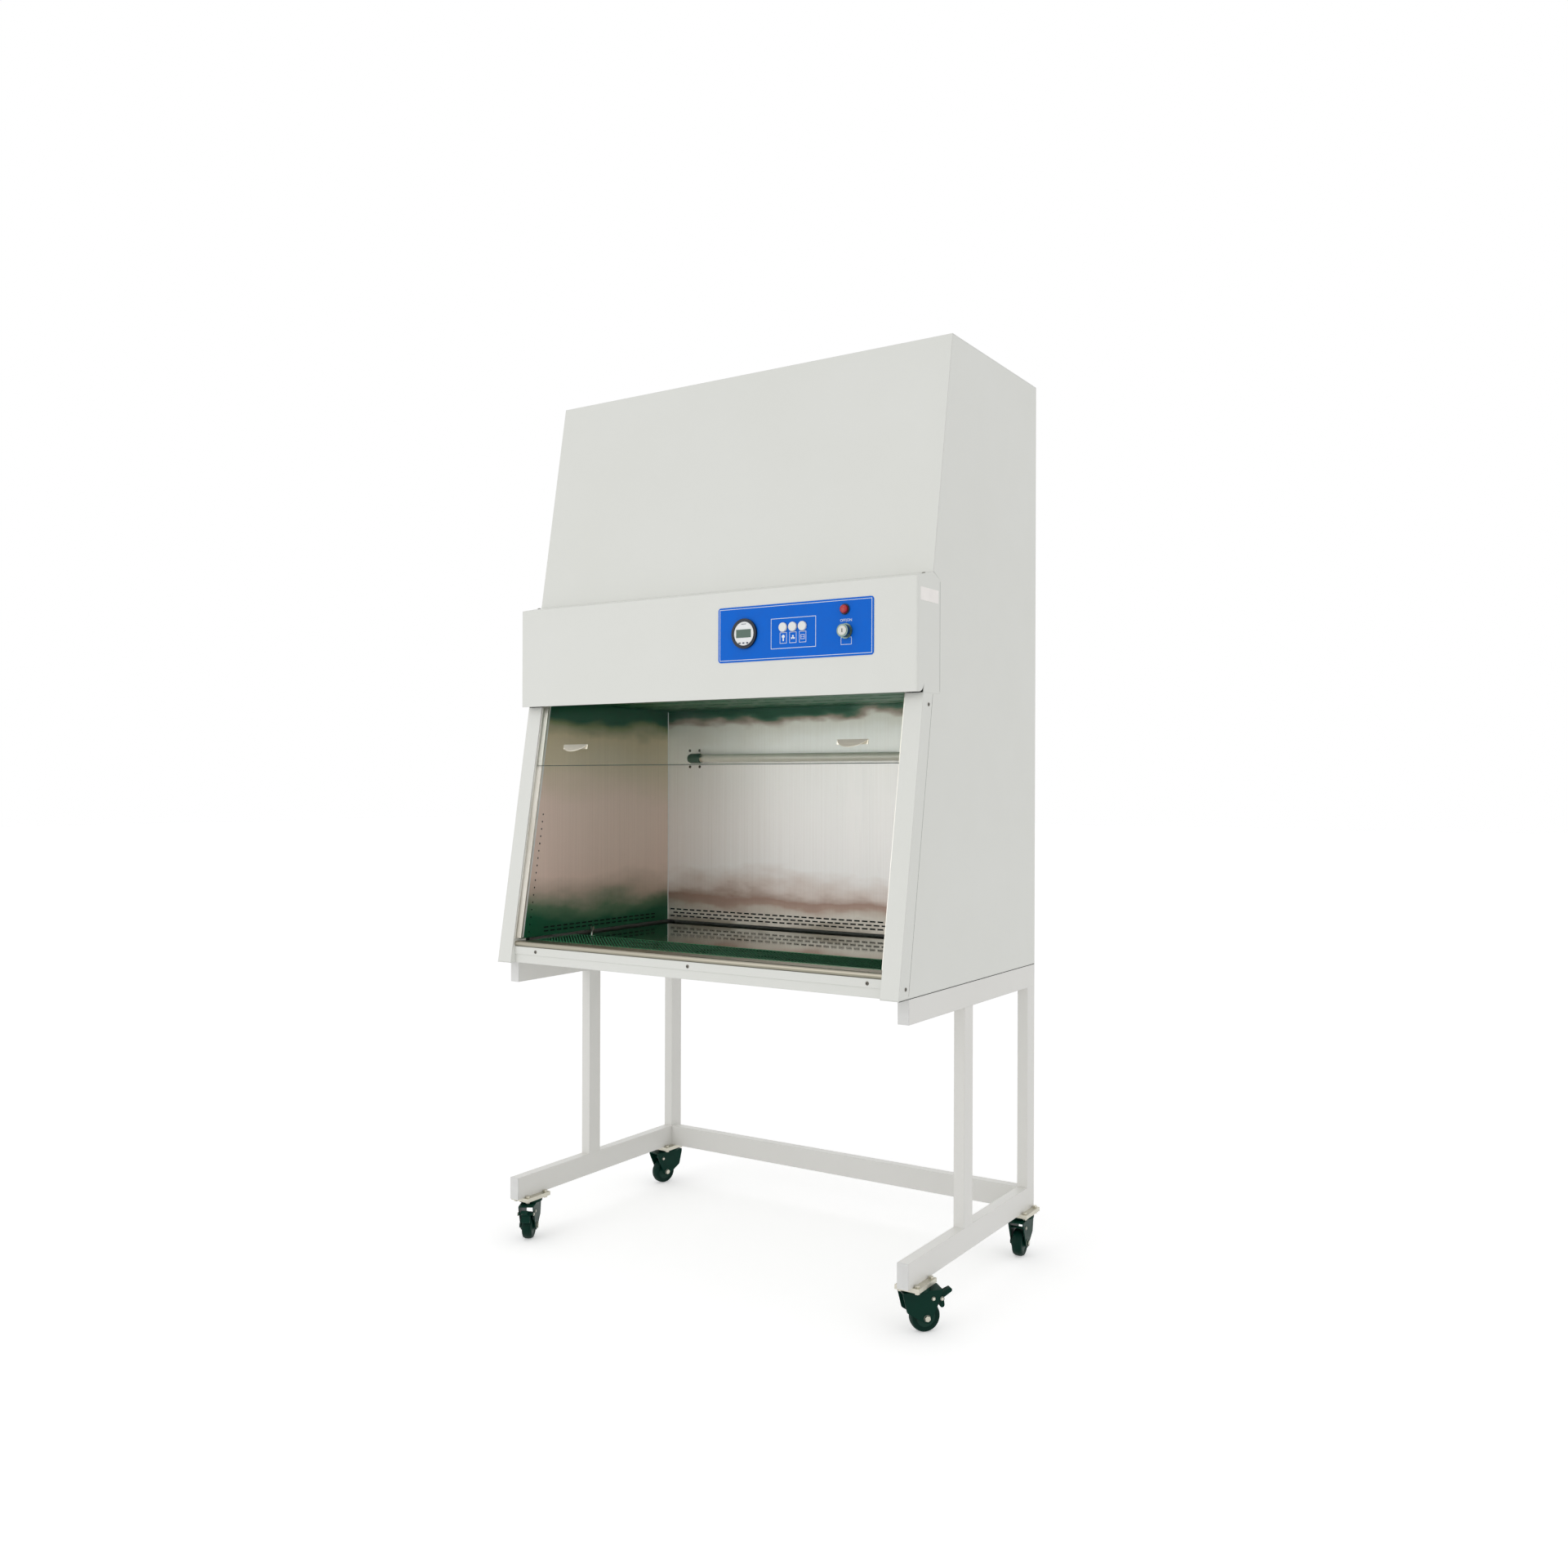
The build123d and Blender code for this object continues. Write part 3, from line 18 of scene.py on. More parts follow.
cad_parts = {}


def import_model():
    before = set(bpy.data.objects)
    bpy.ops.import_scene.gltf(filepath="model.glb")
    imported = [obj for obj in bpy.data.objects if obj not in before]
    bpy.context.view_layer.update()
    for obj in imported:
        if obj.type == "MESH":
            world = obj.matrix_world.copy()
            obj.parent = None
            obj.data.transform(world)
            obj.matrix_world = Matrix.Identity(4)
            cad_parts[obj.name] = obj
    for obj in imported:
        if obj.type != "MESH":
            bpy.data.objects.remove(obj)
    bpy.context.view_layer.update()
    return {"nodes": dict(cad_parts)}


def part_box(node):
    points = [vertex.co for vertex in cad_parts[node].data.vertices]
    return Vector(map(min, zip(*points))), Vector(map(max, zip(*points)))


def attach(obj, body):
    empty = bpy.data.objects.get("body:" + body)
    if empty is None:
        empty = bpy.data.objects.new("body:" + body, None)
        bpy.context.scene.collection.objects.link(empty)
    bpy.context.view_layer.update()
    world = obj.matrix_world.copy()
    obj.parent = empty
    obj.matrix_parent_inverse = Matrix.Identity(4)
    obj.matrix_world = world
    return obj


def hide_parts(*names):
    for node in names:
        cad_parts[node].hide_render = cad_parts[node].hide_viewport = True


LOG = logging.getLogger("biosafety_cabinet")
MM = 0.001
CABINET_FLOOR = 810.0
CABINET_FRONT = -400.0
HALF_WIDTH = 650.0
CHAMBER_BACK = 702.0
DECK_TOP = 58.0
LEAN = 271.0 / 1636.0
SLOPE = math.atan(LEAN)
OUTWARD = Vector((0, -1, 0))
RGB = tuple[float, float, float]
Point = tuple[float, float, float]


def up(size: float) -> float:
    """Returns the height above the floor, in mm, of a size from the cabinet's bottom."""
    return CABINET_FLOOR + size


def inward(size: float) -> float:
    """Returns the Y, in mm, of a size from the cabinet's bottom front edge."""
    return CABINET_FRONT + size


def sloping(x: float, level: float, back: float = 0.0) -> Matrix:
    """Places a frame on the cabinet's sloping front, its Z running up the slope.

    Args:
        x: Distance to the right of the middle.
        level: Height from the cabinet's bottom.
        back: Distance behind the slope at that height.

    Returns:
        The frame's place and turn.
    """
    place = Matrix.Translation((x, inward(LEAN * level + back), up(level)))
    return place @ Matrix.Rotation(-SLOPE, 4, "X")


def linear(red: int, green: int, blue: int) -> RGB:
    """Turns an 8-bit colour into the linear values that the shaders take.

    Args:
        red: Red, 0 to 255.
        green: Green, 0 to 255.
        blue: Blue, 0 to 255.

    Returns:
        The linear red, green and blue.
    """

    def one(value: int) -> float:
        """Returns one channel as a linear value."""
        share = value / 255.0
        return share / 12.92 if share <= 0.04045 else ((share + 0.055) / 1.055) ** 2.4

    return (one(red), one(green), one(blue))


def dimmed(colour: RGB, red: float, green: float, blue: float) -> RGB:
    """Returns a colour with each channel reduced to the given share of itself."""
    return (colour[0] * red, colour[1] * green, colour[2] * blue)


def any_ray(tree: bpy.types.NodeTree, *kinds: str) -> bpy.types.NodeSocket:
    """Adds nodes that give 1 for the named kinds of ray and 0 for the others.

    Args:
        tree: The node tree.
        kinds: Outputs of the Light Path node.

    Returns:
        The result.
    """
    rays = tree.nodes.new("ShaderNodeLightPath")
    found = rays.outputs[kinds[0]]
    for kind in kinds[1:]:
        either = tree.nodes.new("ShaderNodeMath")
        either.operation = "MAXIMUM"
        tree.links.new(found, either.inputs[0])
        tree.links.new(rays.outputs[kind], either.inputs[1])
        found = either.outputs["Value"]
    return found


# --------------------------------------------------------------------- materials
class Grain(Enum):
    """Directions in which a sheet is brushed; each holds its pattern's stretch."""

    ALONG_X = (2.0, 260.0, 260.0)
    UPRIGHT = (230.0, 230.0, 1.6)


class Recipe:
    """Builds one procedural material, node by node."""

    def __init__(self, name: str) -> None:
        """Starts a material.

        Args:
            name: The material's name.
        """
        self.material = bpy.data.materials.new(name)
        self.material.use_nodes = True
        self.tree = self.material.node_tree
        self.shader = self.tree.nodes["Principled BSDF"]
        self.coordinates = self.tree.nodes.new("ShaderNodeTexCoord")

    def constants(self, **values: object) -> None:
        """Sets constant inputs on the shader.

        Args:
            values: The inputs by name, with underscores for spaces.
        """
        for key, value in values.items():
            socket = self.shader.inputs[key.replace("_", " ")]
            if isinstance(value, tuple) and len(value) == 3 and len(socket.default_value) == 4:
                value = (*value, 1.0)
            socket.default_value = value

    def link(self, source: bpy.types.NodeSocket, target: bpy.types.NodeSocket) -> None:
        """Joins two sockets."""
        self.tree.links.new(source, target)

    def paint(self, colour: bpy.types.NodeSocket) -> None:
        """Drives the base colour."""
        self.link(colour, self.shader.inputs["Base Color"])

    def gloss(self, factor: bpy.types.NodeSocket, low: float, high: float) -> None:
        """Drives the roughness between two values.

        Args:
            factor: Noise factor.
            low: Roughness at the low end.
            high: Roughness at the high end.
        """
        self.link(self.spread(factor, low, high), self.shader.inputs["Roughness"])

    def height(self) -> bpy.types.NodeSocket:
        """Gives the height in object coordinates."""
        split = self.tree.nodes.new("ShaderNodeSeparateXYZ")
        self.link(self.mapped(), split.inputs["Vector"])
        return split.outputs["Z"]

    def mapped(
        self, scale: Point = (1, 1, 1), turn: Point = (0, 0, 0), place: Point = (0, 0, 0)
    ) -> bpy.types.NodeSocket:
        """Gives object coordinates through a Mapping node.

        Args:
            scale: Stretch along each axis.
            turn: Rotation about each axis, in radians.
            place: Offset after the stretch.

        Returns:
            The mapped vector.
        """
        node = self.tree.nodes.new("ShaderNodeMapping")
        node.inputs["Scale"].default_value = scale
        node.inputs["Rotation"].default_value = turn
        node.inputs["Location"].default_value = place
        self.link(self.coordinates.outputs["Object"], node.inputs["Vector"])
        return node.outputs["Vector"]

    def noise(
        self, vector: bpy.types.NodeSocket, scale: float, detail: float = 3.0, rough: float = 0.5
    ) -> bpy.types.NodeSocket:
        """Adds a noise texture.

        Args:
            vector: Coordinates.
            scale: Size of the pattern.
            detail: Number of octaves.
            rough: Strength of the finer octaves.

        Returns:
            The noise factor.
        """
        node = self.tree.nodes.new("ShaderNodeTexNoise")
        node.inputs["Scale"].default_value = scale
        node.inputs["Detail"].default_value = detail
        node.inputs["Roughness"].default_value = rough
        self.link(vector, node.inputs["Vector"])
        return node.outputs["Fac"]

    def ramp(
        self, factor: bpy.types.NodeSocket, stops: list[tuple[float, RGB]]
    ) -> bpy.types.NodeSocket:
        """Adds a colour ramp.

        Args:
            factor: Input from 0 to 1.
            stops: Positions and colours, low to high.

        Returns:
            The ramp's colour.
        """
        node = self.tree.nodes.new("ShaderNodeValToRGB")
        band = node.color_ramp
        band.elements[0].position, band.elements[0].color = stops[0][0], (*stops[0][1], 1)
        band.elements[1].position, band.elements[1].color = stops[-1][0], (*stops[-1][1], 1)
        for position, colour in stops[1:-1]:
            band.elements.new(position).color = (*colour, 1)
        self.link(factor, node.inputs["Fac"])
        return node.outputs["Color"]

    def spread(
        self, factor: bpy.types.NodeSocket, low: float, high: float
    ) -> bpy.types.NodeSocket:
        """Maps a factor of about 0.3 to 0.7 onto low to high.

        Args:
            factor: Noise factor.
            low: Value at the low end.
            high: Value at the high end.

        Returns:
            The mapped value.
        """
        node = self.tree.nodes.new("ShaderNodeMapRange")
        node.inputs["From Min"].default_value = 0.3
        node.inputs["From Max"].default_value = 0.7
        node.inputs["To Min"].default_value = low
        node.inputs["To Max"].default_value = high
        self.link(factor, node.inputs["Value"])
        return node.outputs["Result"]

    def relief(
        self,
        height: bpy.types.NodeSocket,
        strength: float,
        distance: float,
        edge: float = 0.0,
    ) -> None:
        """Bumps the surface, and softens its edges where edge is above 0.

        Args:
            height: Height pattern.
            strength: Share of the bump.
            distance: Depth of the bump in metres.
            edge: Radius of the softened edges in metres.
        """
        node = self.tree.nodes.new("ShaderNodeBump")
        node.inputs["Strength"].default_value = strength
        node.inputs["Distance"].default_value = distance
        self.link(height, node.inputs["Height"])
        if edge > 0.0:
            bevel = self.tree.nodes.new("ShaderNodeBevel")
            bevel.samples = 4
            bevel.inputs["Radius"].default_value = edge
            self.link(bevel.outputs["Normal"], node.inputs["Normal"])
        self.link(node.outputs["Normal"], self.shader.inputs["Normal"])

    def maths(
        self, operation: str, first: bpy.types.NodeSocket, second: float
    ) -> bpy.types.NodeSocket:
        """Adds a Math node with a constant second value.

        Args:
            operation: The node's operation.
            first: First input.
            second: Second input.

        Returns:
            The result.
        """
        node = self.tree.nodes.new("ShaderNodeMath")
        node.operation = operation
        node.inputs[1].default_value = second
        self.link(first, node.inputs[0])
        return node.outputs["Value"]


@dataclass(frozen=True)
class PowderCoat:
    """Powder-coated steel: a fine orange peel and slightly varied gloss."""

    name: str
    colour: RGB
    roughness: float = 0.38
    peel: float = 0.00012
    edge: float = 0.0012

    def material(self) -> bpy.types.Material:
        """Returns the node material."""
        recipe = Recipe(self.name)
        haze = recipe.noise(recipe.mapped(), 2.4, 4.0)
        dull = dimmed(self.colour, 0.975, 0.975, 0.965)
        shade = recipe.ramp(haze, [(0.3, dull), (0.7, self.colour)])
        recipe.paint(shade)
        patch = recipe.noise(recipe.mapped(), 14.0, 3.0)
        recipe.gloss(patch, self.roughness - 0.04, self.roughness + 0.05)
        recipe.constants(Coat_Weight=0.15, Coat_Roughness=0.25)
        recipe.relief(recipe.noise(recipe.mapped(), 900.0, 2.0), 0.25, self.peel, self.edge)
        return recipe.material


@dataclass(frozen=True)
class BrushedSheet:
    """Brushed stainless sheet with long fine scratches and a clouded tint."""

    name: str
    bright: RGB
    dull: RGB
    grain: Grain
    roughness: float = 0.24
    clouds: float = 2.2

    def material(self) -> bpy.types.Material:
        """Returns the node material."""
        recipe = Recipe(self.name)
        streak = recipe.noise(recipe.mapped(scale=self.grain.value), 1.0, 5.0, 0.65)
        broad = tuple(value * 0.035 for value in self.grain.value)
        cloud = recipe.noise(recipe.mapped(scale=broad), self.clouds, 4.0, 0.6)
        tint = recipe.ramp(cloud, [(0.32, self.dull), (0.62, self.bright)])
        recipe.paint(tint)
        recipe.gloss(streak, self.roughness - 0.07, self.roughness + 0.09)
        recipe.constants(Metallic=1.0)
        recipe.relief(streak, 0.12, 0.00006, 0.0006)
        return recipe.material


@dataclass(frozen=True)
class ReflectionShadeBandSheet:
    """Brushed stainless sheet with painted reflections and painted shade: its colour changes with
    height, in cloudy bands.
    """

    name: str
    bands: tuple[tuple[float, RGB], ...]
    metallic: float = 0.34
    roughness: float = 0.42
    wander: float = 0.03
    grain: Grain = Grain.UPRIGHT

    def material(self) -> bpy.types.Material:
        """Returns the node material."""
        recipe = Recipe(self.name)
        level = recipe.height()
        drift = recipe.noise(recipe.mapped(scale=(3.6, 3.6, 9.0)), 1.3, 4.0, 0.5)
        shift = recipe.spread(drift, -self.wander, self.wander)
        height = recipe.tree.nodes.new("ShaderNodeMath")
        height.operation = "ADD"
        recipe.link(level, height.inputs[0])
        recipe.link(shift, height.inputs[1])
        low, high = self.bands[0][0], self.bands[-1][0]
        share = recipe.tree.nodes.new("ShaderNodeMapRange")
        share.inputs["From Min"].default_value = up(low) * MM
        share.inputs["From Max"].default_value = up(high) * MM
        recipe.link(height.outputs["Value"], share.inputs["Value"])
        # The ramp paints the reflections and shade given in the bands, by height.
        stops = [((place - low) / (high - low), tint) for place, tint in self.bands]
        tint = recipe.ramp(share.outputs["Result"], stops)
        streak = recipe.noise(recipe.mapped(scale=self.grain.value), 1.0, 5.0, 0.65)
        shade = recipe.tree.nodes.new("ShaderNodeMix")
        shade.data_type = "RGBA"
        shade.blend_type = "MULTIPLY"
        shade.inputs["Factor"].default_value = 1.0
        recipe.link(tint, shade.inputs["A"])
        recipe.link(
            recipe.ramp(streak, [(0.3, (0.91, 0.90, 0.89)), (0.7, (1.0, 1.0, 1.0))]),
            shade.inputs["B"],
        )
        recipe.paint(shade.outputs["Result"])
        recipe.gloss(streak, self.roughness - 0.05, self.roughness + 0.07)
        recipe.constants(Metallic=self.metallic)
        recipe.relief(streak, 0.08, 0.00004, 0.0006)
        return recipe.material


@dataclass(frozen=True)
class MirrorSheet:
    """Polished stainless sheet with faint smears and hairline scratches."""

    name: str
    colour: RGB
    roughness: float = 0.055

    def material(self) -> bpy.types.Material:
        """Returns the node material."""
        recipe = Recipe(self.name)
        smear = recipe.noise(recipe.mapped(scale=(1.0, 2.2, 1.0)), 5.0, 5.0, 0.6)
        dull = dimmed(self.colour, 0.93, 0.94, 0.93)
        tint = recipe.ramp(smear, [(0.3, dull), (0.7, self.colour)])
        recipe.paint(tint)
        recipe.gloss(smear, self.roughness * 0.6, self.roughness * 1.7)
        recipe.constants(Metallic=1.0)
        hair = recipe.noise(recipe.mapped(scale=(3.0, 420.0, 420.0)), 1.0, 2.0)
        recipe.relief(hair, 0.04, 0.00003)
        return recipe.material


@dataclass(frozen=True)
class PunchedSheet:
    """Stainless sheet with painted shade in its punched holes below its face."""

    name: str
    metal: RGB
    hole_shade: RGB
    face: float
    roughness: float = 0.3

    def material(self) -> bpy.types.Material:
        """Returns the node material."""
        recipe = Recipe(self.name)
        above = recipe.maths("GREATER_THAN", recipe.height(), self.face)
        cloud = recipe.noise(recipe.mapped(scale=(1.0, 3.0, 1.0)), 7.0, 4.0)
        dull = dimmed(self.metal, 0.72, 0.78, 0.74)
        tint = recipe.ramp(cloud, [(0.3, dull), (0.7, self.metal)])
        # Below the face the holes take the colour of painted shade.
        both = recipe.tree.nodes.new("ShaderNodeMix")
        both.data_type = "RGBA"
        both.inputs["A"].default_value = (*self.hole_shade, 1.0)
        recipe.link(above, both.inputs["Factor"])
        recipe.link(tint, both.inputs["B"])
        recipe.paint(both.outputs["Result"])
        recipe.link(recipe.maths("MULTIPLY", above, 0.45), recipe.shader.inputs["Metallic"])
        recipe.gloss(cloud, self.roughness - 0.05, self.roughness + 0.06)
        recipe.relief(recipe.noise(recipe.mapped(scale=(2.0, 300.0, 300.0)), 1.0), 0.1, 0.00005)
        return recipe.material


@dataclass(frozen=True)
class Moulding:
    """Moulded plastic or lacquer with a fine texture."""

    name: str
    colour: RGB
    roughness: float = 0.35
    texture: float = 700.0
    depth: float = 0.00008
    coat: float = 0.0
    edge: float = 0.0003
    sparkle: float = 0.06
    shine: float = 0.5

    def material(self) -> bpy.types.Material:
        """Returns the node material."""
        recipe = Recipe(self.name)
        haze = recipe.noise(recipe.mapped(), 35.0, 4.0)
        share = 1.0 - self.sparkle
        dull = dimmed(self.colour, share, share, share)
        shade = recipe.ramp(haze, [(0.3, dull), (0.7, self.colour)])
        recipe.paint(shade)
        recipe.gloss(haze, self.roughness * 0.88, self.roughness * 1.12)
        recipe.constants(
            Coat_Weight=self.coat, Coat_Roughness=0.08, Specular_IOR_Level=self.shine
        )
        recipe.relief(recipe.noise(recipe.mapped(), self.texture, 2.0), 0.3, self.depth, self.edge)
        return recipe.material


@dataclass(frozen=True)
class PlatedMetal:
    """Plated or bare metal with mottled gloss."""

    name: str
    colour: RGB
    roughness: float = 0.3
    spangle: float = 60.0
    edge: float = 0.0004

    def material(self) -> bpy.types.Material:
        """Returns the node material."""
        recipe = Recipe(self.name)
        patch = recipe.noise(recipe.mapped(), self.spangle, 4.0, 0.6)
        dull = dimmed(self.colour, 0.82, 0.83, 0.82)
        tint = recipe.ramp(patch, [(0.3, dull), (0.68, self.colour)])
        recipe.paint(tint)
        recipe.gloss(patch, self.roughness * 0.75, self.roughness * 1.3)
        recipe.constants(Metallic=1.0)
        recipe.relief(patch, 0.15, 0.0001, self.edge)
        return recipe.material


@dataclass(frozen=True)
class ClearGlass:
    """Clear float glass that lets light through to what stands behind it."""

    name: str
    tint: RGB
    roughness: float = 0.0
    bend: float = 1.12

    def material(self) -> bpy.types.Material:
        """Returns the node material."""
        recipe = Recipe(self.name)
        recipe.constants(
            Base_Color=self.tint,
            Transmission_Weight=1.0,
            IOR=self.bend,
            Roughness=self.roughness,
        )
        recipe.relief(recipe.noise(recipe.mapped(), 9.0, 3.0), 0.02, 0.00002)
        tree = recipe.tree
        through = tree.nodes.new("ShaderNodeBsdfTransparent")
        through.inputs["Color"].default_value = (*self.tint, 1.0)
        either = tree.nodes.new("ShaderNodeMixShader")
        recipe.link(any_ray(tree, "Is Shadow Ray"), either.inputs["Fac"])
        recipe.link(recipe.shader.outputs["BSDF"], either.inputs[1])
        recipe.link(through.outputs["BSDF"], either.inputs[2])
        recipe.link(either.outputs["Shader"], tree.nodes["Material Output"].inputs["Surface"])
        return recipe.material


@dataclass(frozen=True)
class PleatedPaper:
    """Filter paper folded into narrow pleats that run front to back, with painted shade in the
    folds.
    """

    name: str
    colour: RGB
    pleats: float = 160.0

    def material(self) -> bpy.types.Material:
        """Returns the node material."""
        recipe = Recipe(self.name)
        wave = recipe.tree.nodes.new("ShaderNodeTexWave")
        wave.bands_direction = "X"
        wave.inputs["Scale"].default_value = self.pleats
        wave.inputs["Distortion"].default_value = 0.2
        recipe.link(recipe.mapped(), wave.inputs["Vector"])
        # Painted shade: the ramp darkens the paper in each fold of the pleats.
        dull = dimmed(self.colour, 0.6, 0.6, 0.58)
        tint = recipe.ramp(wave.outputs["Fac"], [(0.0, dull), (1.0, self.colour)])
        recipe.paint(tint)
        recipe.constants(Roughness=0.85)
        recipe.relief(wave.outputs["Fac"], 0.7, 0.002)
        return recipe.material


@dataclass(frozen=True)
class GrainedBoard:
    """Filter-frame board with a drawn-out wood grain."""

    name: str
    light: RGB
    dark: RGB

    def material(self) -> bpy.types.Material:
        """Returns the node material."""
        recipe = Recipe(self.name)
        grain = recipe.noise(recipe.mapped(scale=(2.0, 60.0, 60.0)), 1.5, 6.0, 0.65)
        tint = recipe.ramp(grain, [(0.35, self.dark), (0.65, self.light)])
        recipe.paint(tint)
        recipe.constants(Roughness=0.6)
        recipe.relief(grain, 0.3, 0.0004)
        return recipe.material


# Painted reflections and painted shade on the back wall, by height from the cabinet's bottom: pale
# in the middle, a brownish band above the slots, dark green under the ceiling.
BACK_WALL_REFLECTION_SHADE_BANDS: tuple[tuple[float, RGB], ...] = (
    (60.0, linear(176, 166, 152)),
    (84.0, linear(230, 222, 212)),
    (112.0, linear(216, 202, 190)),
    (128.0, linear(190, 162, 148)),
    (152.0, linear(178, 148, 134)),
    (184.0, linear(228, 214, 206)),
    (235.0, linear(254, 252, 250)),
    (640.0, linear(254, 253, 250)),
    (696.0, linear(242, 238, 230)),
    (714.0, linear(178, 158, 144)),
    (728.0, linear(60, 104, 80)),
    (740.0, linear(0, 76, 50)),
)
# Painted reflections and painted shade on the side walls, by height: dark green at the foot and
# under the ceiling, warm and pale in between.
SIDE_WALL_REFLECTION_SHADE_BANDS: tuple[tuple[float, RGB], ...] = (
    (60.0, linear(0, 88, 56)),
    (100.0, linear(0, 94, 62)),
    (134.0, linear(96, 130, 100)),
    (185.0, linear(212, 192, 176)),
    (240.0, linear(252, 226, 212)),
    (450.0, linear(254, 230, 216)),
    (560.0, linear(236, 222, 196)),
    (640.0, linear(234, 216, 182)),
    (688.0, linear(136, 150, 106)),
    (708.0, linear(0, 96, 64)),
    (745.0, linear(0, 80, 54)),
)


class Finishes:
    """Every finish of the cabinet, made once and shared."""

    def __init__(self) -> None:
        """Makes the materials."""
        self.paint = PowderCoat("cabinet_paint", linear(226, 227, 222)).material()
        self.stand_paint = PowderCoat("stand_paint", linear(229, 228, 224), 0.34).material()
        self.back_wall = ReflectionShadeBandSheet("back_wall_steel_painted_reflections", BACK_WALL_REFLECTION_SHADE_BANDS).material()
        self.side_wall = ReflectionShadeBandSheet(
            "side_wall_steel_painted_reflections", SIDE_WALL_REFLECTION_SHADE_BANDS, metallic=0.12, wander=0.022
        ).material()
        self.trim = BrushedSheet(
            "brushed_trim", linear(178, 172, 158), linear(120, 120, 102), Grain.ALONG_X, 0.34
        ).material()
        # Dark green painted reflection and painted shade on the drain basin's brushed steel.
        self.basin = BrushedSheet(
            "basin_sheet_painted_reflection", linear(0, 150, 100), linear(0, 110, 74), Grain.ALONG_X, 0.35
        ).material()
        self.track = BrushedSheet(
            "brushed_track", linear(238, 236, 230), linear(218, 214, 204), Grain.UPRIGHT, 0.36
        ).material()
        # Painted highlight: a near-white finish for thin strips along the tracks' inner edges and
        # in the back left corner.
        self.highlight_strip = Moulding("painted_highlight_strip", linear(254, 254, 252), 0.35, coat=0.4).material()
        self.deck = MirrorSheet("polished_deck", linear(176, 184, 176)).material()
        # The grille's green metal is painted reflection and painted shade; its holes hold painted
        # shade.
        self.punched = PunchedSheet(
            "punched_deck", linear(84, 176, 124), linear(0, 20, 12), (up(DECK_TOP) - 0.3) * MM
        ).material()
        # Painted shade: a dark finish for sheets set behind the wall slots, where there is only
        # shade.
        self.slot_shade = Moulding("painted_slot_shade", linear(0, 14, 10), 0.9).material()
        self.seam = Moulding("seam_shadow", linear(92, 92, 88), 0.7).material()
        # Painted shadow: dark strips where the cabinet sits on the stand's rails.
        self.gap_shadow = Moulding("painted_gap_shadow", linear(40, 44, 40), 0.7).material()
        # Dark green painted shade on the air diffuser's brushed steel under the ceiling.
        self.ceiling = BrushedSheet(
            "ceiling_sheet_painted_shade", linear(0, 120, 80), linear(0, 84, 56), Grain.ALONG_X, 0.4
        ).material()
        self.glass = ClearGlass("sash_sheet", linear(252, 254, 252)).material()
        self.glass_edge = Moulding("ground_glass_edge", linear(22, 58, 46), 0.3).material()
        self.tube = Moulding(
            "lamp_tube_glass", linear(224, 220, 206), 0.2, 200.0, coat=0.6
        ).material()
        self.pull = BrushedSheet(
            "sash_pull_steel", linear(254, 250, 238), linear(236, 230, 214), Grain.ALONG_X, 0.5
        ).material()
        self.plate = Moulding(
            "blue_control_plate", linear(0, 104, 214), 0.5, 500.0, shine=0.15
        ).material()
        self.print_white = Moulding("printed_line", linear(240, 246, 250), 0.5).material()
        self.timer_ring = Moulding("timer_ring_gloss", linear(4, 18, 36), 0.24, 900.0).material()
        self.dial = Moulding("timer_dial", linear(238, 240, 240), 0.3).material()
        self.display = Moulding("display_window", linear(4, 74, 50), 0.12, coat=0.6).material()
        self.print_dark = Moulding("dark_print", linear(52, 62, 84), 0.5).material()
        self.cap = Moulding("button_cap", linear(232, 233, 230), 0.3, coat=0.2).material()
        self.lens = Moulding("signal_lens", linear(176, 0, 8), 0.22, coat=0.3).material()
        self.bezel = Moulding("signal_bezel", linear(8, 14, 30), 0.3).material()
        # The collar's dark greenish grey is partly its plated steel and partly painted shade.
        self.key_ring = PlatedMetal("key_ring_steel_and_painted_shade", linear(120, 138, 130), 0.3, 40.0).material()
        self.key = PlatedMetal("key_switch_plating", linear(176, 176, 172), 0.3, 30.0).material()
        # Painted shade: the keyhole is a dark block.
        self.keyhole_shade = Moulding("keyhole_painted_shade", linear(20, 16, 14), 0.6).material()
        self.screw = PlatedMetal("screw_zinc", linear(118, 114, 106), 0.3, 90.0).material()
        # Painted shade: dark blocks stand in the screws' cross recesses.
        self.recess_shade = Moulding("screw_recess_painted_shade", linear(18, 16, 20), 0.7).material()
        self.zinc = PlatedMetal("castor_zinc", linear(212, 208, 194), 0.34, 50.0).material()
        self.enamel = Moulding(
            "castor_enamel", linear(0, 48, 37), 0.45, 400.0, shine=0.12
        ).material()
        self.tyre = Moulding("castor_tyre", linear(0, 40, 31), 0.5, 300.0, shine=0.12).material()
        self.hub = Moulding("castor_hub", linear(2, 54, 42), 0.42, 300.0, shine=0.2).material()
        self.socket = Moulding("lamp_socket", linear(34, 78, 58), 0.35, coat=0.2).material()
        self.inlet = Moulding("inlet_plastic", linear(26, 26, 28), 0.45).material()
        self.label = Moulding("blank_label", linear(252, 248, 244), 0.4).material()
        self.sheet_zinc = PlatedMetal("plenum_sheet", linear(176, 180, 184), 0.35, 26.0).material()
        self.motor = Moulding("motor_paint", linear(74, 80, 88), 0.45, 200.0).material()
        self.paper = PleatedPaper("filter_paper", linear(232, 230, 222)).material()
        self.board = GrainedBoard(
            "filter_board", linear(206, 174, 128), linear(160, 124, 82)
        ).material()
        self.end_cap = Moulding("tube_end_cap", linear(226, 226, 224), 0.4).material()


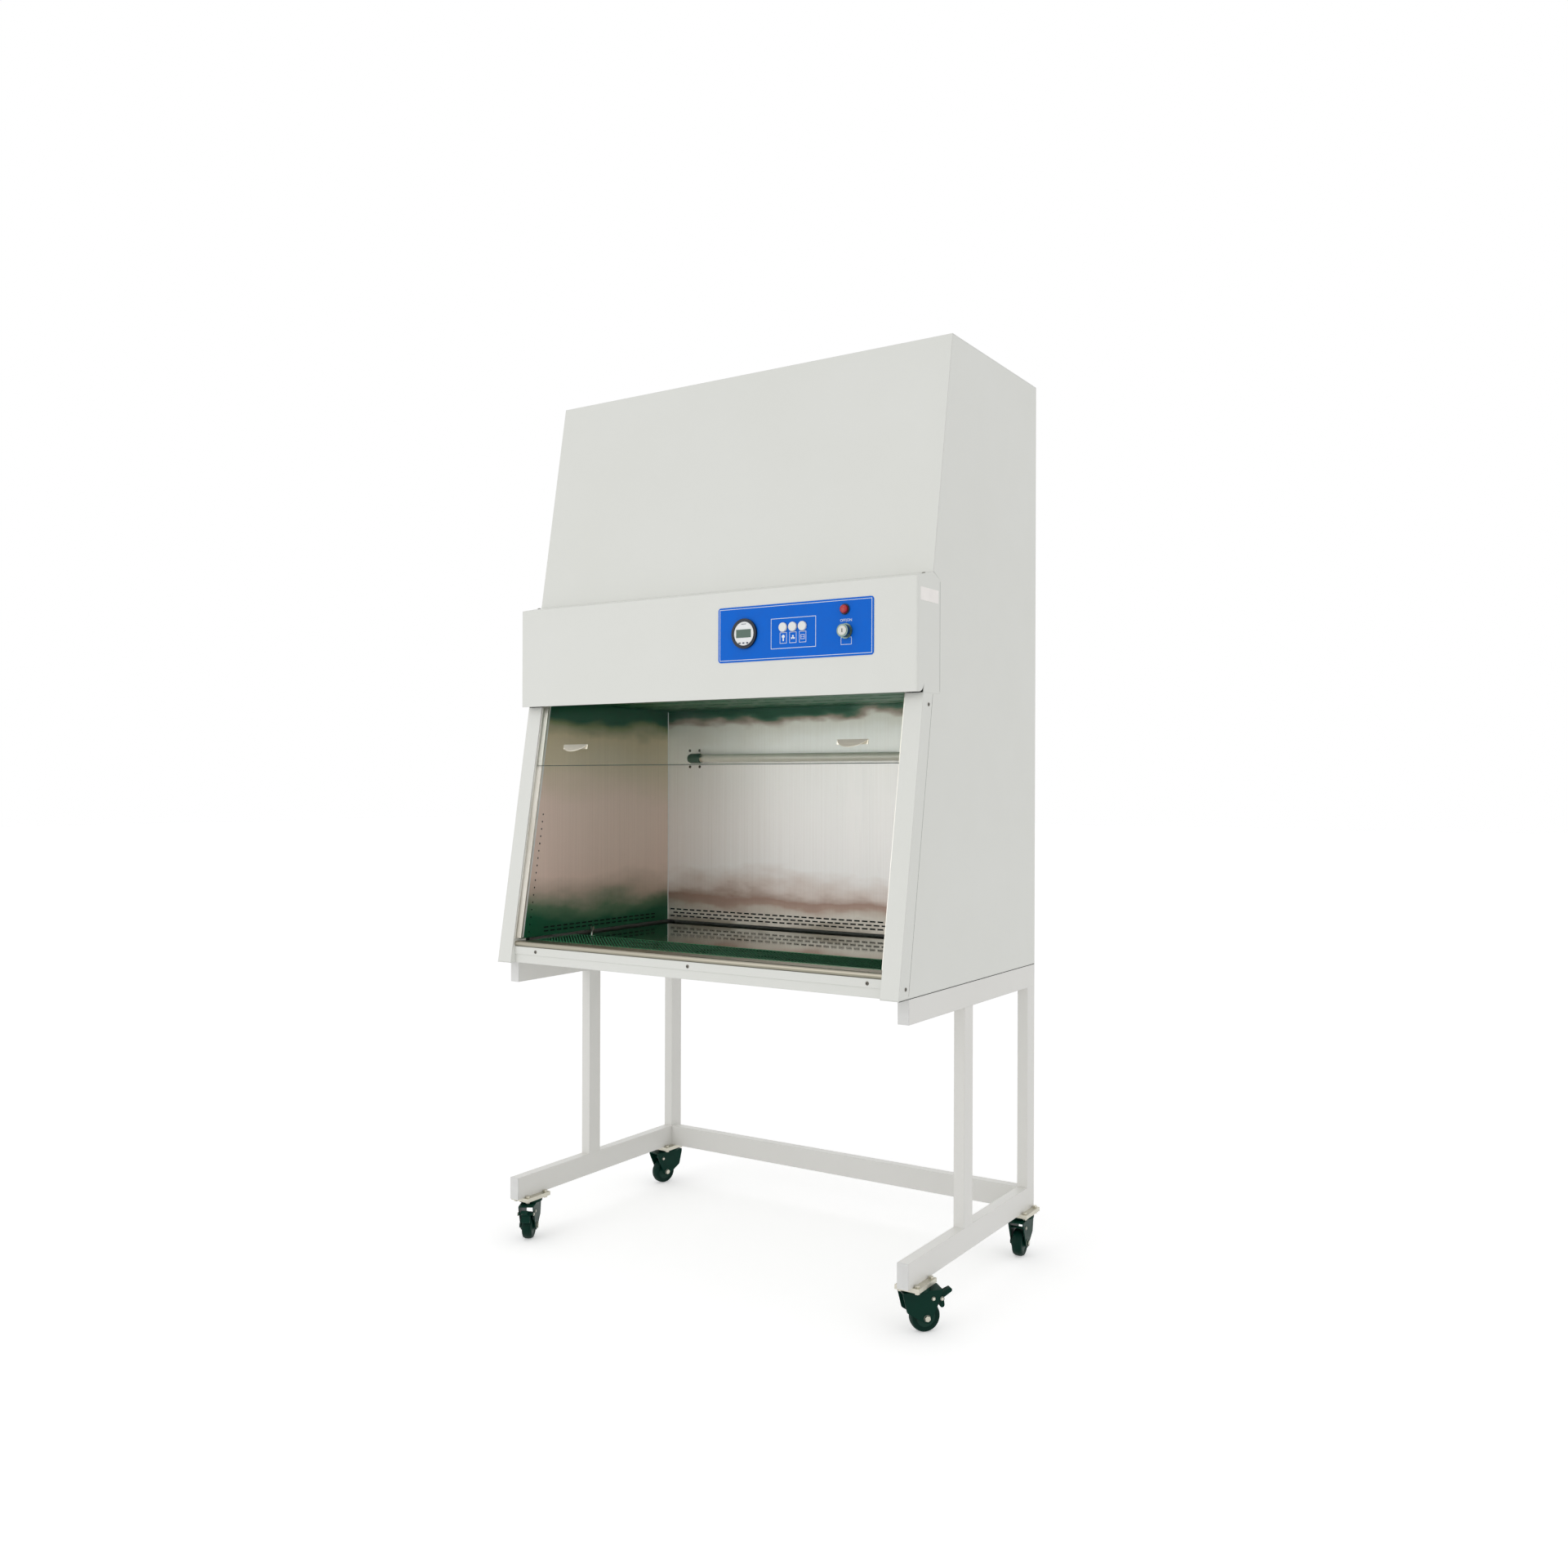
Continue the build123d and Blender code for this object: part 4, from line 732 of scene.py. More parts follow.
# ------------------------------------------------------------------ mesh workshop
class Shape:
    """One mesh under construction, in millimetres."""

    def __init__(self) -> None:
        """Starts empty."""
        self.mesh = bmesh.new()

    def add(self, other: "Shape") -> None:
        """Takes over another shape's mesh.

        Args:
            other: The shape, which is used up.
        """
        data = bpy.data.meshes.new("passing")
        other.mesh.to_mesh(data)
        other.mesh.free()
        self.mesh.from_mesh(data)
        bpy.data.meshes.remove(data)

    def block(self, low: Point, high: Point, round_off: float = 0.0, segments: int = 2) -> None:
        """Adds a box, with its edges rounded where round_off is above 0.

        Args:
            low: Lowest corner.
            high: Highest corner.
            round_off: Edge radius.
            segments: Facets in each rounding.
        """
        size = [h - l for l, h in zip(low, high)]
        middle = [(h + l) / 2 for l, h in zip(low, high)]
        made = bmesh.ops.create_cube(
            self.mesh,
            size=1.0,
            matrix=Matrix.Translation(middle) @ Matrix.Diagonal((*size, 1.0)),
        )
        if round_off > 0.0:
            edges = dict.fromkeys(edge for vert in made["verts"] for edge in vert.link_edges)
            self.soften(list(edges), round_off, segments)

    def slab(self, place: Matrix, middle: Point, size: Point) -> None:
        """Adds a box in a turned frame.

        Args:
            place: The frame's place and turn.
            middle: The box's middle in the frame.
            size: The box's size along the frame's axes.
        """
        bmesh.ops.create_cube(
            self.mesh,
            size=1.0,
            matrix=place @ Matrix.Translation(middle) @ Matrix.Diagonal((*size, 1.0)),
        )

    def soften(self, edges: list[bmesh.types.BMEdge], radius: float, segments: int = 2) -> None:
        """Bevels the given edges.

        Args:
            edges: The edges.
            radius: Width of the rounding on each side.
            segments: Facets in it.
        """
        bmesh.ops.bevel(
            self.mesh,
            geom=edges,
            offset=radius,
            offset_type="OFFSET",
            segments=segments,
            profile=0.5,
            affect="EDGES",
            material=-1,
        )

    def drum(
        self,
        base: Vector,
        axis: Vector,
        radius: float,
        length: float,
        segments: int = 32,
        edge: float = 0.0,
    ) -> None:
        """Adds a cylinder.

        Args:
            base: Centre of the first end.
            axis: Direction towards the other end.
            radius: Its radius.
            length: Distance between the ends.
            segments: Facets round it.
            edge: Rounding of the far rim.
        """
        turn = Vector((0, 0, 1)).rotation_difference(axis.normalized()).to_matrix().to_4x4()
        place = Matrix.Translation(base + axis.normalized() * length / 2) @ turn
        made = bmesh.ops.create_cone(
            self.mesh,
            cap_ends=True,
            segments=segments,
            radius1=radius,
            radius2=radius,
            depth=length,
            matrix=place,
        )
        if edge > 0.0:
            far = base + axis.normalized() * length
            rim = [
                one
                for one in dict.fromkeys(e for v in made["verts"] for e in v.link_edges)
                if all(abs((v.co - far).dot(axis.normalized())) < 1e-4 for v in one.verts)
            ]
            self.soften(rim, edge, 3)

    def lathe(
        self,
        outline: list[tuple[float, float]],
        base: Vector,
        axis: Vector,
        segments: int = 40,
    ) -> None:
        """Turns an outline of (radius, height) points about an axis.

        Args:
            outline: The points, in order.
            base: Where height 0 lies.
            axis: Direction of growing height.
            segments: Steps in the turn.
        """
        turn = Vector((0, 0, 1)).rotation_difference(axis.normalized()).to_matrix().to_4x4()
        place = Matrix.Translation(base) @ turn
        verts = [self.mesh.verts.new((radius, 0.0, height)) for radius, height in outline]
        edges = [self.mesh.edges.new(pair) for pair in zip(verts, verts[1:])]
        before = set(self.mesh.verts) - set(verts)
        bmesh.ops.spin(
            self.mesh,
            geom=verts + edges,
            cent=(0, 0, 0),
            axis=(0, 0, 1),
            angle=math.tau,
            steps=segments,
            use_merge=True,
        )
        made = [vert for vert in self.mesh.verts if vert not in before]
        bmesh.ops.transform(self.mesh, matrix=place, verts=made)
        bmesh.ops.remove_doubles(self.mesh, verts=made, dist=1e-4)

    def frame(self, low: Point, high: Point, line: float) -> None:
        """Adds a rectangular outline of four thin bars in an upright plane.

        Args:
            low: Lowest corner.
            high: Highest corner.
            line: Width of the bars.
        """
        x0, y0, z0 = low
        x1, y1, z1 = high
        self.block((x0, y0, z0), (x1, y1, z0 + line))
        self.block((x0, y0, z1 - line), (x1, y1, z1))
        self.block((x0, y0, z0 + line), (x0 + line, y1, z1 - line))
        self.block((x1 - line, y0, z0 + line), (x1, y1, z1 - line))

    def piece(
        self,
        name: str,
        material: bpy.types.Material,
        body: str,
        sharp: float = 32.0,
    ) -> bpy.types.Object:
        """Turns the mesh into a finished piece that rides on a body.

        Args:
            name: The piece's name.
            material: Its finish.
            body: The body that it moves with.
            sharp: Edges steeper than this many degrees stay crisp.

        Returns:
            The new object.
        """
        bmesh.ops.scale(self.mesh, vec=(MM, MM, MM), verts=self.mesh.verts)
        bmesh.ops.recalc_face_normals(self.mesh, faces=self.mesh.faces)
        for face in self.mesh.faces:
            face.smooth = True
        for edge in self.mesh.edges:
            if len(edge.link_faces) == 2:
                edge.smooth = edge.calc_face_angle(0.0) < math.radians(sharp)
        data = bpy.data.meshes.new(name)
        self.mesh.to_mesh(data)
        self.mesh.free()
        data.materials.append(material)
        made = bpy.data.objects.new(name, data)
        bpy.context.scene.collection.objects.link(made)
        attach(made, body)
        LOG.info("made %s on %s", name, body)
        return made


def dress(nodes: dict[str, bpy.types.Object], material: bpy.types.Material, *names: str) -> None:
    """Gives model nodes a finish.

    Args:
        nodes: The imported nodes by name.
        material: The finish.
        names: The nodes that take it.
    """
    for name in names:
        slots = nodes[name].data.materials
        slots.clear()
        slots.append(material)
        LOG.info("dressed %s", name)


# --------------------------------------------------------------------- sub-assemblies
@dataclass
class Shell:
    """Painted body with its seams, screws and a blank label on the hood's cheek."""

    finishes: Finishes
    screw_radius: float = 4.8
    label_thick: float = 0.3
    pillar_deep: float = 49.0
    pillar_tall: float = 730.0
    pillar_middle: float = 372.0
    cheek_deep: float = 206.0
    seam_wide: float = 0.7
    seam_thick: float = 0.3
    rail_wide: float = 30.0
    rail_front: float = 51.0

    def build(self, nodes: dict[str, bpy.types.Object]) -> None:
        """Dresses the shell and adds its small pieces.

        Args:
            nodes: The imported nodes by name.
        """
        dress(
            nodes,
            self.finishes.paint,
            "side_panel_left",
            "side_panel_right",
            "back_panel",
            "top_panel",
            "bottom_pan",
            "upper_front_panel",
            "control_hood",
            "pillar_left",
            "pillar_right",
            "sill_strip",
        )
        dress(nodes, self.finishes.trim, "exhaust_grille")
        dress(nodes, self.finishes.inlet, "power_inlet")
        self.add_label()
        self.add_screws()
        self.add_seams_and_gap_shadow()

    def add_seams_and_gap_shadow(self) -> None:
        """Adds the folded seam behind each pillar and painted shadow in the gap between the cabinet
        and the stand.
        """
        seams = Shape()
        gap_strips = Shape()
        middle = (0, 0, self.pillar_middle)
        seam = (self.seam_thick, self.seam_wide, self.pillar_tall)
        for side in (-1, 1):
            face = side * HALF_WIDTH
            seams.slab(sloping(face, 0.0, self.pillar_deep), middle, seam)
            seams.block(
                (face - self.seam_thick / 2, inward(self.cheek_deep), up(735.0)),
                (face + self.seam_thick / 2, inward(206.7), up(1005.0)),
            )
            low, high = sorted((face - side * 0.2, face + side * 0.2))
            gap_strips.block((low, inward(3.0), up(-0.9)), (high, inward(798.0), up(0.9)))
            low, high = sorted((face, face - side * self.rail_wide))
            gap_strips.block(
                (low, inward(self.rail_front - 0.2), up(-1.2)),
                (high, inward(self.rail_front + 0.2), up(0.4)),
            )
        seams.piece("shell_seams", self.finishes.seam, "cabinet")
        gap_strips.piece("stand_gap_shadow", self.finishes.gap_shadow, "cabinet")

    def add_label(self) -> None:
        """Adds the blank label low on the right cheek of the hood."""
        label = Shape()
        outer = HALF_WIDTH + self.label_thick
        label.block((HALF_WIDTH, inward(104), up(950)), (outer, inward(198), up(982)))
        label.piece("blank_label", self.finishes.label, "cabinet")

    def seats(self) -> list[tuple[Vector, Vector]]:
        """Returns the seat and outward direction of each screw."""
        found = []
        for x in (-521.5, 17.0, 555.5):
            found.append((Vector((x, inward(18), up(34))), OUTWARD))
        rise = 19.0 / (0.1656479 * 1026.0 - 90.0)
        for side in (-1, 1):
            for level in (25.0, 701.0):
                seat = Vector((side * HALF_WIDTH, inward(LEAN * level + 31.0), up(level)))
                found.append((seat, Vector((side, 0, 0))))
            seat = Vector((side * 636.0, inward(146), up(1007 + rise * 56.0)))
            found.append((seat, Vector((0, -rise, 1)).normalized()))
            for x in (-19.5, 19.5):
                for z in (-26.0, 26.0):
                    seat = Vector((side * 489.0 + x, inward(CHAMBER_BACK), up(590 + z)))
                    found.append((seat, OUTWARD))
        return found

    def add_screws(self) -> None:
        """Replaces the plain screw heads with domed ones whose cross recess is a block of painted
        shade.
        """
        heads = Shape()
        slots = Shape()
        radius = self.screw_radius
        dome = [
            (radius, 0.0), (radius, 0.5), (radius * 0.86, 1.2), (radius * 0.5, 1.65), (0.0, 1.8),
        ]
        for seat, out in self.seats():
            heads.lathe(dome, seat, out, 20)
            turn = Vector((0, 0, 1)).rotation_difference(out).to_matrix().to_4x4()
            # Each cross is a dark block of painted shade in the recess.
            for quarter in (0.0, math.pi / 2):
                spin = Matrix.Rotation(quarter + 0.5, 4, "Z")
                place = Matrix.Translation(seat) @ turn @ spin
                slots.slab(place, (0, 0, 1.35), (radius * 1.4, 1.3, 1.0))
        made = heads.piece("screw_heads", self.finishes.screw, "cabinet", 50.0)
        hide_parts("cabinet_screws")
        slots.piece("screw_cross_shades", self.finishes.recess_shade, "cabinet")


@dataclass
class ControlPanel:
    """Blue plate on the hood with its timer, buttons, lamp and key switch."""

    finishes: Finishes
    left: float = 61.0
    right: float = 530.0
    low: float = 823.0
    high: float = 966.0
    line: float = 1.3
    print_thick: float = 0.25
    inset: float = 4.5
    button_xs: tuple[float, float, float] = (265.5, 294.8, 324.1)

    def build(self, nodes: dict[str, bpy.types.Object]) -> None:
        """Dresses the panel and adds its printed lines and small parts.

        Args:
            nodes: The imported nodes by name.
        """
        dress(nodes, self.finishes.plate, "control_plate")
        dress(nodes, self.finishes.dial, "timer_face")
        dress(nodes, self.finishes.timer_ring, "timer_bezel")
        dress(nodes, self.finishes.cap, "push_button_1", "push_button_2", "push_button_3")
        dress(nodes, self.finishes.key_ring, "key_switch_collar")
        dress(nodes, self.finishes.key, "key_barrel")
        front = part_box("control_plate")[0].y / MM
        self.print_lines(front)
        self.fit_timer(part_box("timer_face")[0].y / MM)
        self.fit_caps(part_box("push_button_1")[0].y / MM)
        self.fit_signal(front)
        self.fit_key(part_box("key_barrel")[0].y / MM)

    def print_lines(self, front: float) -> None:
        """Adds the border, the frame round the buttons and the blank fields.

        Args:
            front: Y of the plate's face.
        """
        art = Shape()
        near = front - self.print_thick
        art.frame(
            (self.left + self.inset, near, up(self.low + self.inset)),
            (self.right - self.inset, front, up(self.high - self.inset)),
            self.line,
        )
        art.frame((227.6, near, up(851.0)), (363.5, front, up(928.5)), self.line)
        for x in self.button_xs:
            art.frame((x - 10.5, near, up(864.0)), (x + 10.5, front, up(892.0)), 1.1)
        art.frame((436.5, near, up(851.0)), (467.5, front, up(869.5)), 1.1)
        art.piece("printed_lines", self.finishes.print_white, "cabinet")
        self.print_symbols(near, front)
        self.print_switch_words(front)

    def print_symbols(self, near: float, front: float) -> None:
        """Adds a plain symbol in each field: lamp, fan and socket.

        Args:
            near: Y of the print's face.
            front: Y of the plate's face.
        """
        art = Shape()
        out = OUTWARD
        thick = front - near
        lamp, fan, socket = self.button_xs
        art.drum(Vector((lamp, front, up(881.5))), out, 4.6, thick, 20)
        art.block((lamp - 1.9, near, up(870.0)), (lamp + 1.9, front, up(877.5)))
        for turn in range(3):
            angle = math.radians(90 + 120 * turn)
            middle = Vector((fan + 3.6 * math.cos(angle), front, up(878.0 + 3.6 * math.sin(angle))))
            art.drum(middle, out, 2.6, thick, 14)
        art.drum(Vector((fan, front, up(878.0))), out, 1.4, thick, 12)
        art.frame((socket - 6.0, near, up(872.0)), (socket + 6.0, front, up(884.0)), 1.2)
        art.drum(Vector((socket - 2.4, front, up(878.0))), out, 1.1, thick, 10)
        art.drum(Vector((socket + 2.4, front, up(878.0))), out, 1.1, thick, 10)
        art.piece("field_symbols", self.finishes.print_white, "cabinet")

    def print_switch_words(self, front: float) -> None:
        """Adds OFF and ON above the key switch.

        Args:
            front: Y of the plate's face.
        """
        curve = bpy.data.curves.new("switch_words", "FONT")
        curve.body = "OFF|ON"
        curve.size = 9.5 * MM
        curve.align_x = "CENTER"
        curve.align_y = "CENTER"
        curve.extrude = self.print_thick / 2 * MM
        words = bpy.data.objects.new("switch_words_curve", curve)
        bpy.context.scene.collection.objects.link(words)
        bpy.context.view_layer.update()
        data = bpy.data.meshes.new_from_object(words)
        bpy.data.objects.remove(words)
        data.name = "switch_words"
        data.transform(
            Matrix.Translation((451.5 * MM, (front - self.print_thick / 2) * MM, up(911) * MM))
            @ Matrix.Rotation(math.pi / 2, 4, "X")
        )
        data.materials.clear()
        data.materials.append(self.finishes.print_white)
        made = bpy.data.objects.new("switch_words", data)
        bpy.context.scene.collection.objects.link(made)
        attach(made, "cabinet")

    def fit_timer(self, face: float) -> None:
        """Adds the display window, keys and rim to the timer.

        Args:
            face: Y of the dial's face.
        """
        window = Shape()
        window.block((121.7, face - 0.4, up(885.0)), (168.5, face + 0.2, up(906.5)), 0.3, 1)
        window.piece("timer_display", self.finishes.display, "cabinet")
        rim = Shape()
        rim.lathe(
            [(30.8, -0.2), (35.2, -0.2), (35.2, 1.7), (32.6, 1.7), (30.8, 0.6), (30.8, -0.2)],
            Vector((146.0, face, up(895.5))),
            OUTWARD,
            56,
        )
        rim.piece("timer_rim", self.finishes.timer_ring, "cabinet")
        keys = Shape()
        for x in (133.0, 145.0, 157.0):
            keys.block((x - 3.2, face - 1.0, up(869.5)), (x + 3.2, face + 0.2, up(873.0)), 0.5, 2)
        keys.block((138.0, face - 0.15, up(919.5)), (153.0, face + 0.2, up(921.0)))
        keys.piece("timer_keys", self.finishes.print_dark, "cabinet")

    def fit_caps(self, face: float) -> None:
        """Adds a shallow domed cap to each push-button.

        Args:
            face: Y of the buttons' faces.
        """
        outline = [
            (11.6, -5.0), (12.15, -4.4), (12.15, -1.0), (11.2, 0.35), (8.0, 0.8), (0.0, 1.1),
        ]
        for number, x in enumerate(self.button_xs, start=1):
            dome = Shape()
            dome.lathe(outline, Vector((x, face, up(905.0))), OUTWARD, 36)
            dome.piece(
                f"button_dome_{number}", self.finishes.cap, f"button_{number}", 45
            )

    def fit_signal(self, front: float) -> None:
        """Replaces the signal lamp with a bezel and a domed lens.

        Args:
            front: Y of the plate's face.
        """
        base = Vector((448.3, front, up(938.5)))
        out = OUTWARD
        bezel = Shape()
        bezel.lathe(
            [(13.5, 0.0), (13.5, 2.6), (12.4, 4.0), (10.8, 4.0), (10.8, 0.0)], base, out, 40
        )
        ring = bezel.piece("signal_bezel", self.finishes.bezel, "cabinet")
        lens = Shape()
        lens.lathe(
            [(10.4, 0.0), (10.4, 8.0), (9.6, 10.0), (7.4, 11.3), (4.0, 11.9), (0.0, 12.0)],
            base, out, 40,
        )
        dome = lens.piece("signal_lens", self.finishes.lens, "cabinet", 50)
        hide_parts("indicator_lamp")
        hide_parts("indicator_lamp")

    def fit_key(self, face: float) -> None:
        """Adds the keyhole as a block of painted shade that turns with the barrel.

        Args:
            face: Y of the barrel's face.
        """
        hole_shade = Shape()
        hole_shade.block((449.9, face - 0.1, up(880.2)), (452.1, face + 4.0, up(888.8)))
        hole_shade.piece("keyhole", self.finishes.keyhole_shade, "key")


@dataclass
class Chamber:
    """Stainless chamber, its deck, the sash and the lamp."""

    finishes: Finishes
    ceiling: float = 745.0
    hole_row: float = 5.657
    hole_radius: float = 2.35
    hole_deep: float = 1.6
    hole_margin: float = 6.0
    track_face: float = 600.0
    track_foot: float = 66.0
    track_long: float = 1352.0
    shade_foot: float = 68.0
    shade_top: float = 116.0
    glass_thick: float = 6.0
    glass_wide: float = 1188.0
    tube_reach: float = 446.0
    tube_radius: float = 12.9
    tube_bore: float = 12.0

    def build(self, nodes: dict[str, bpy.types.Object]) -> None:
        """Dresses the chamber and adds its finer pieces.

        Args:
            nodes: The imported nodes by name.
        """
        dress(nodes, self.finishes.side_wall, "chamber_wall_left", "chamber_wall_right")
        dress(nodes, self.finishes.back_wall, "chamber_back_wall")
        dress(nodes, self.finishes.trim, "sill_nose")
        dress(nodes, self.finishes.basin, "drain_basin")
        dress(nodes, self.finishes.deck, "work_tray")
        dress(nodes, self.finishes.ceiling, "air_diffuser")
        dress(nodes, self.finishes.glass, "sash_glass")
        dress(nodes, self.finishes.pull, "sash_handles")
        self.add_grille()
        self.add_tracks()
        self.add_slot_shades()
        self.add_glass_edge()
        self.add_lamp()

    def add_grille(self) -> None:
        """Replaces the grille by a cover of the same size with rows of cups."""
        low, high = (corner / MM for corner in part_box("front_grille"))
        cover = Shape()
        top = high.z - self.hole_deep - 0.2
        cover.block(tuple(low), (high.x, high.y, top))
        rows = 2 * int((high.y - low.y - 2 * self.hole_margin) / (2 * self.hole_row))
        columns = int((high.x - low.x - 2 * self.hole_margin) / (2 * self.hole_row))
        deep = rows * self.hole_row
        wide = columns * 2 * self.hole_row
        middle = (low + high) / 2
        west, south = middle.x - wide / 2, middle.y - deep / 2
        for strip in (
            ((low.x, low.y, top), (high.x, south, high.z)),
            ((low.x, south + deep, top), (high.x, high.y, high.z)),
            ((low.x, south, top), (west, south + deep, high.z)),
            ((west + wide, south, top), (high.x, south + deep, high.z)),
        ):
            cover.block(*strip)
        self.punch(cover, Vector((west, south, high.z)), columns, rows)
        made = cover.piece(
            "punched_grille", self.finishes.punched, "cabinet"
        )
        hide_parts("front_grille")

    def punch(self, cover: Shape, corner: Vector, columns: int, rows: int) -> None:
        """Fills a rectangle of the cover with staggered rows of open cups.

        Args:
            cover: The cover under construction.
            corner: Lowest corner of the rectangle, on the cover's face.
            columns: Cups in a full row.
            rows: Number of rows, which is even.
        """
        step = self.hole_row
        pair = Shape()
        for row in (0, 1):
            y = corner.y + (row + 0.5) * step
            for column in range(columns - row):
                x = corner.x + (2 * column + 1 + row) * step
                self.cell(pair, Vector((x, y, corner.z)), 2 * step, step, True)
        for x in (corner.x + step / 2, corner.x + (2 * columns - 0.5) * step):
            self.cell(pair, Vector((x, y, corner.z)), step, step, False)
        first = pair.mesh.verts[:] + pair.mesh.edges[:] + pair.mesh.faces[:]
        for count in range(1, rows // 2):
            copy = bmesh.ops.duplicate(pair.mesh, geom=first)
            verts = [item for item in copy["geom"] if isinstance(item, bmesh.types.BMVert)]
            bmesh.ops.translate(pair.mesh, vec=(0, 2 * step * count, 0), verts=verts)
        cover.add(pair)

    def cell(
        self, cover: Shape, middle: Vector, wide: float, deep: float, punched: bool
    ) -> None:
        """Adds one cell of the cover: an eight-sided cup, or a flat rectangle.

        Args:
            cover: The cover under construction.
            middle: The cell's middle.
            wide: Its size along X.
            deep: Its size along Y.
            punched: Whether it is drawn in to a cup, open at the top.
        """
        grid = bmesh.ops.create_grid(
            cover.mesh,
            x_segments=2,
            y_segments=2,
            size=0.5,
            matrix=Matrix.Translation(middle) @ Matrix.Diagonal((wide, deep, 1.0, 1.0)),
        )
        if not punched:
            return
        faces = list(dict.fromkeys(face for vert in grid["verts"] for face in vert.link_faces))
        rim = dict.fromkeys(vert for face in faces for vert in face.verts)
        for vert in rim:
            arm = vert.co - middle
            if arm.length > deep * 0.05:
                vert.co = middle + arm.normalized() * self.hole_radius
            vert.co.z = middle.z
        bottom = bmesh.ops.extrude_face_region(cover.mesh, geom=faces)
        bmesh.ops.delete(cover.mesh, geom=faces, context="FACES_ONLY")
        sunk = [item for item in bottom["geom"] if isinstance(item, bmesh.types.BMVert)]
        bmesh.ops.translate(cover.mesh, vec=(0, 0, -self.hole_deep), verts=sunk)

    def add_tracks(self) -> None:
        """Replaces the tracks by slim ones behind the glass, with a strip of painted highlight
        along each.
        """
        middle = self.track_long / 2
        for side, tag in ((-1, "left"), (1, "right")):
            rail = Shape()
            highlight_strip = Shape()
            foot = sloping(side * self.track_face, self.track_foot)
            for near, far, thick, target in (
                (17.0, 22.4, 11.0, rail),
                (4.0, 22.4, 3.0, rail),
                (22.4, 30.0, 2.6, rail),
                (30.0, 34.0, 4.6, highlight_strip),
            ):
                target.slab(
                    foot,
                    (-side * thick / 2, (near + far) / 2, middle),
                    (thick, far - near, self.track_long),
                )
            self.trim_top(rail)
            self.trim_top(highlight_strip)
            made = rail.piece(f"slim_track_{tag}", self.finishes.track, "cabinet")
            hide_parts(f"sash_track_{tag}")
            highlight_strip.piece(f"track_highlight_strip_{tag}", self.finishes.highlight_strip, "cabinet")

    def trim_top(self, shape: Shape) -> None:
        """Cuts a sloping strip off level, at its foot and just under the ceiling.

        Args:
            shape: The strip under construction.
        """
        for height, out in ((self.ceiling - 1.0, 1), (68.0, -1)):
            cut = bmesh.ops.bisect_plane(
                shape.mesh,
                geom=shape.mesh.verts[:] + shape.mesh.edges[:] + shape.mesh.faces[:],
                plane_co=(0, 0, up(height)),
                plane_no=(0, 0, out),
                clear_outer=True,
            )
            rim = [item for item in cut["geom_cut"] if isinstance(item, bmesh.types.BMEdge)]
            bmesh.ops.holes_fill(shape.mesh, edges=rim)

    def add_slot_shades(self) -> None:
        """Adds sheets of painted shade behind the slotted walls and a strip of painted highlight in
        the left corner.
        """
        sheet = Shape()
        foot, top = up(self.shade_foot), up(self.shade_top)
        wall = inward(CHAMBER_BACK)
        sheet.block((-588.0, wall + 2.2, foot), (588.0, wall + 3.0, top))
        for side in (-1, 1):
            low, high = sorted((side * 602.3, side * 603.0))
            sheet.block((low, inward(130.0), foot), (high, inward(700.0), top))
            place = sloping(side * 602.65, self.shade_foot)
            sheet.slab(place, (0, 58.0, 205.0), (0.7, 14.0, 410.0))
        sheet.piece("slot_shade_sheets", self.finishes.slot_shade, "cabinet")
        highlight_strip = Shape()
        base = Vector((-597.4, wall - 1.4, up(self.track_foot)))
        highlight_strip.drum(base, Vector((0, 0, 1)), 1.3, 676.0, 12)
        highlight_strip.piece("corner_highlight_strip", self.finishes.highlight_strip, "cabinet")

    def add_glass_edge(self) -> None:
        """Adds the ground lower edge of the sash."""
        low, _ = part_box("sash_glass")
        edge = Shape()
        place = Matrix.Translation(Vector((0, low.y / MM, low.z / MM)))
        edge.slab(
            place @ Matrix.Rotation(-SLOPE, 4, "X"),
            (0, self.glass_thick / 2, 0.3),
            (self.glass_wide, self.glass_thick + 0.1, 0.8),
        )
        edge.piece("sash_lower_edge", self.finishes.glass_edge, "sash")

    def add_lamp(self) -> None:
        """Replaces lamp and holders by a pale tube, its caps and round sockets."""
        middle = Vector((0, inward(678), up(590)))
        along = Vector((1, 0, 0))
        tube = Shape()
        full = 2 * self.tube_reach
        outer, inner = self.tube_radius, self.tube_bore
        wall = [(outer, 0.0), (outer, full), (inner, full), (inner, 0.0), (outer, 0.0)]
        tube.lathe(wall, middle - along * self.tube_reach, along, 32)
        made = tube.piece("lamp_glass_tube", self.finishes.tube, "cabinet")
        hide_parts("lamp_tube")
        caps = Shape()
        sockets = Shape()
        for side in (-1, 1):
            out = along * side
            cap = [(0.0, 0.0), (9.0, 0.0), (12.95, 3.0), (12.95, 17.0), (0.0, 17.0)]
            caps.lathe(cap, middle + out * 430.0, out, 32)
            seat = middle + out * 443.0
            socket = [
                (0.0, 0.5), (13.4, 0.5), (15.4, 3.0), (15.9, 8.0), (15.9, 40.0), (13.0, 48.0),
                (0.0, 51.5),
            ]
            sockets.lathe(socket, seat, out, 32)
            low = min(seat.x, seat.x + side * 52.0)
            sockets.block(
                (low + 7.0, middle.y + 6.0, middle.z - 13.0),
                (low + 45.0, inward(CHAMBER_BACK), middle.z + 13.0),
                3.0,
            )
        caps.piece("lamp_end_caps", self.finishes.zinc, "cabinet")
        made = sockets.piece("lamp_sockets", self.finishes.socket, "cabinet")
        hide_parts("lamp_holders")


@dataclass
class AirPath:
    """Filters, plenum and blower behind the front panels."""

    finishes: Finishes

    def build(self, nodes: dict[str, bpy.types.Object]) -> None:
        """Dresses the air path.

        Args:
            nodes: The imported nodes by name.
        """
        dress(nodes, self.finishes.board, "filter_frames")
        dress(nodes, self.finishes.paper, "filter_media")
        dress(nodes, self.finishes.sheet_zinc, "plenum_box", "blower_housing", "blower_impeller")
        dress(nodes, self.finishes.motor, "blower_motor")


